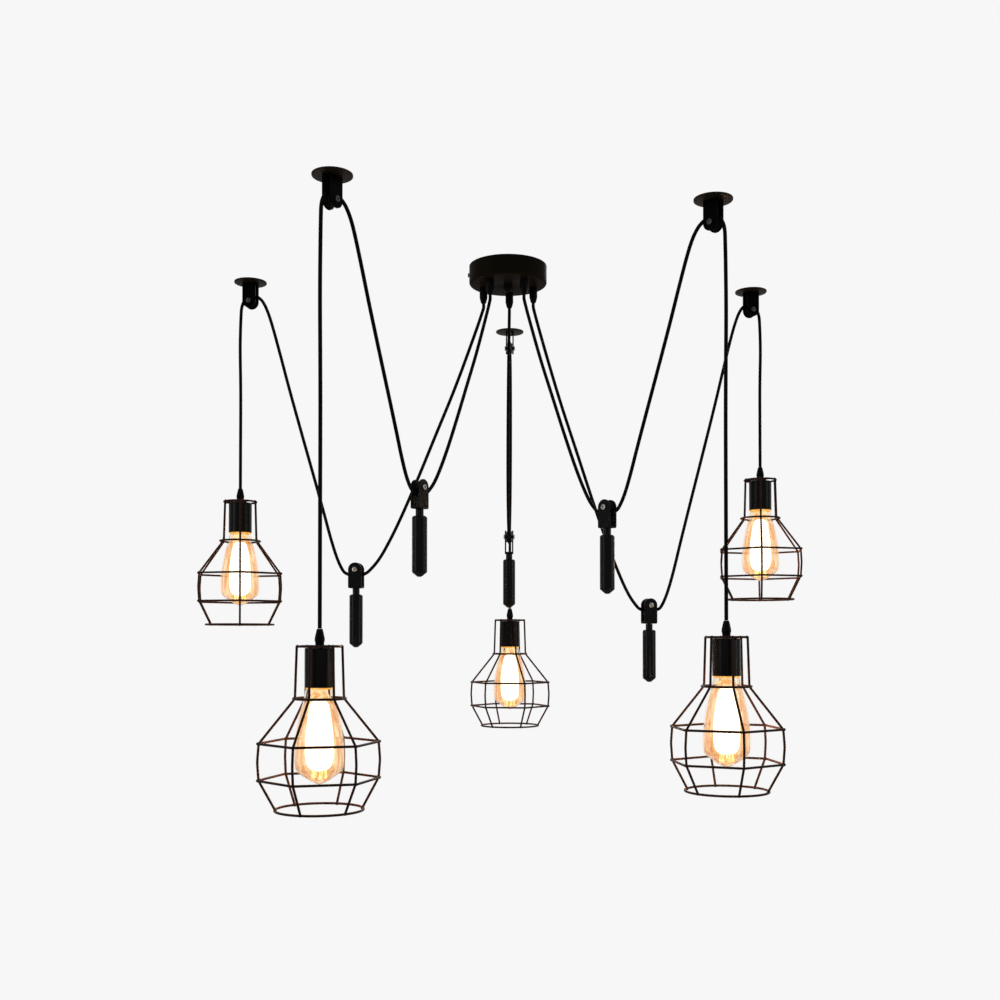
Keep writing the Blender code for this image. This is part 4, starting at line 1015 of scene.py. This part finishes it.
def weld_bead(centre):
    """A small ball with its poles on the Z axis."""
    polar = np.linspace(0, np.pi, 7)
    return surface(rings(BEAD_RADIUS * np.sin(polar), BEAD_RADIUS * np.cos(polar), 10) + centre)


def level_wire(path, sides=14, closed=True):
    """A wire that lies level."""
    return tube(path, PAINTED_WIRE, (0, 0, 1), sides=sides, closed=closed)


upright = [(TOP_RING + WELD, 0.0008), (NECK_RING - WELD, -NECK_DROP),
           (BODY_RING - WELD, -SHOULDER_DROP),
           (BODY_RING - WELD + BOW_OUT, -(SHOULDER_DROP + WAIST_DROP) / 2),
           (BODY_RING - WELD, -WAIST_DROP), (MOUTH_RING - WELD, -MOUTH_DROP - WIRE_RADIUS)]
upright_path = bent([(radius, 0, height) for radius, height in upright], UPRIGHT_BEND)
beads = [(TOP_RING + WELD / 2, 0, 0)]
beads += [(radius - WELD / 2, 0, -drop) for radius, drop in (
    (NECK_RING, NECK_DROP), (BODY_RING, SHOULDER_DROP), (BODY_RING, WAIST_DROP),
    (MOUTH_RING, MOUTH_DROP))]
cage_parts = []
for turn in map(spin, range(0, 360, 60)):
    cage_parts.append(moved(tube(upright_path, PAINTED_WIRE, (0, 1, 0), sides=14), turn))
    cage_parts += [weld_bead(turn @ centre) for centre in beads]
for radius, drop in ((TOP_RING, 0), (NECK_RING, NECK_DROP), (MOUTH_RING, MOUTH_DROP)):
    cage_parts.append(level_wire(ring(radius, drop, 84)))
for drop in (SHOULDER_DROP, WAIST_DROP):
    cage_parts.append(level_wire(bent(ring(BODY_RING, drop, 6), RING_BEND, closed=True)))
cage_parts.append(level_wire(ring(WASHER_RING, 0, 48), sides=12))
spoke = level_wire(np.linspace((WASHER_RING, 0, 0), (TOP_RING, 0, 0), 4), sides=12, closed=False)
cage_parts += [moved(spoke, spin(angle)) for angle in (30, 150, 270)]
cage = joined(cage_parts)
for name, arm in ARMS.items():
    piece(f"{name}_wire_cage", at_lamp(cage, arm, arm["turn"]), "cage_paint", f"{name}_lamp",
          [f"{name}_cage"])
print("cage points:", len(cage["points"]))

# %% [markdown]
# ## Room and light
# The photograph is cut out on a pale, even ground. The world shows that pale colour to the
# camera, to shiny paint and through glass, while a softer grey lights the lamp. Two tall soft
# boxes, left and right of the camera, draw the upright grey streaks that make round black
# metal look round. The floor is well below, as in a room. The camera sees it in the same pale
# colour, with a little of its real shading near the middle.

# %% World
PALE = (0.93, 0.93, 0.93, 1)
world = bpy.data.worlds.new("pale_room")
bpy.context.scene.world = world
world.use_nodes = True
tree = world.node_tree
tree.nodes.clear()
lighting = add(tree, "ShaderNodeBackground", {"Color": (0.94, 0.97, 1.0, 1), "Strength": 0.55})
shown = add(tree, "ShaderNodeBackground", {"Color": PALE})
show_by_ray(tree, add(tree, "ShaderNodeOutputWorld"), ["Camera", "Glossy", "Transmission"],
            shown, lighting)

# %% Floor
FLOOR_SIZE, FLOOR_HEIGHT = 14.0, -2.5
floor_mesh = bpy.data.meshes.new("floor")
floor_mesh.from_pydata([(x * FLOOR_SIZE, y * FLOOR_SIZE, FLOOR_HEIGHT)
                        for x, y in ((-1, -1), (1, -1), (1, 1), (-1, 1))], [], [(0, 1, 2, 3)])
tree, shader = new_material("pale_floor", (0.85, 0.85, 0.85), 0.9)
where = add(tree, "ShaderNodeTexCoord").outputs["Object"]
level = add(tree, "ShaderNodeVectorMath", {0: where, 1: (1.0, 1.0, 0.0)}, operation="MULTIPLY")
away = add(tree, "ShaderNodeVectorMath", {0: level.outputs[0]}, operation="LENGTH").outputs["Value"]
near = ramp(tree, away, 0.3, 2.2, 0.25, 0.0)
unseen = maths(tree, "LESS_THAN", add(tree, "ShaderNodeLightPath").outputs["Is Camera Ray"], 1.0)
flat = add(tree, "ShaderNodeEmission", {"Color": PALE})
show(tree, tree.nodes["Material Output"], maths(tree, "MAXIMUM", near, unseen), flat, shader)
floor_mesh.materials.append(finishes["pale_floor"])
floor = linked("floor", floor_mesh)


# %% Soft boxes
def soft_box(name, place, size, watts, aim=(0, 0, -0.45)):
    """A rectangular lamp at a place, turned so that its face looks at the aim."""
    light = bpy.data.lights.new(name, "AREA")
    light.shape, light.energy = "RECTANGLE", watts
    light.size, light.size_y = size
    item = linked(name, light)
    item.location = place
    x, y, z = np.subtract(aim, place)
    item.rotation_euler = (math.radians(90) + math.atan2(z, math.hypot(x, y)), 0,
                           math.atan2(y, x) - math.pi / 2)


soft_box("left_soft_box", (-2.6, -1.5, -0.1), (0.7, 2.4), 30)
soft_box("right_soft_box", (2.9, -0.9, -0.2), (0.6, 2.4), 26)
soft_box("rear_soft_box", (0.6, 3.0, 0.9), (2.0, 1.0), 22)
print("room ready")
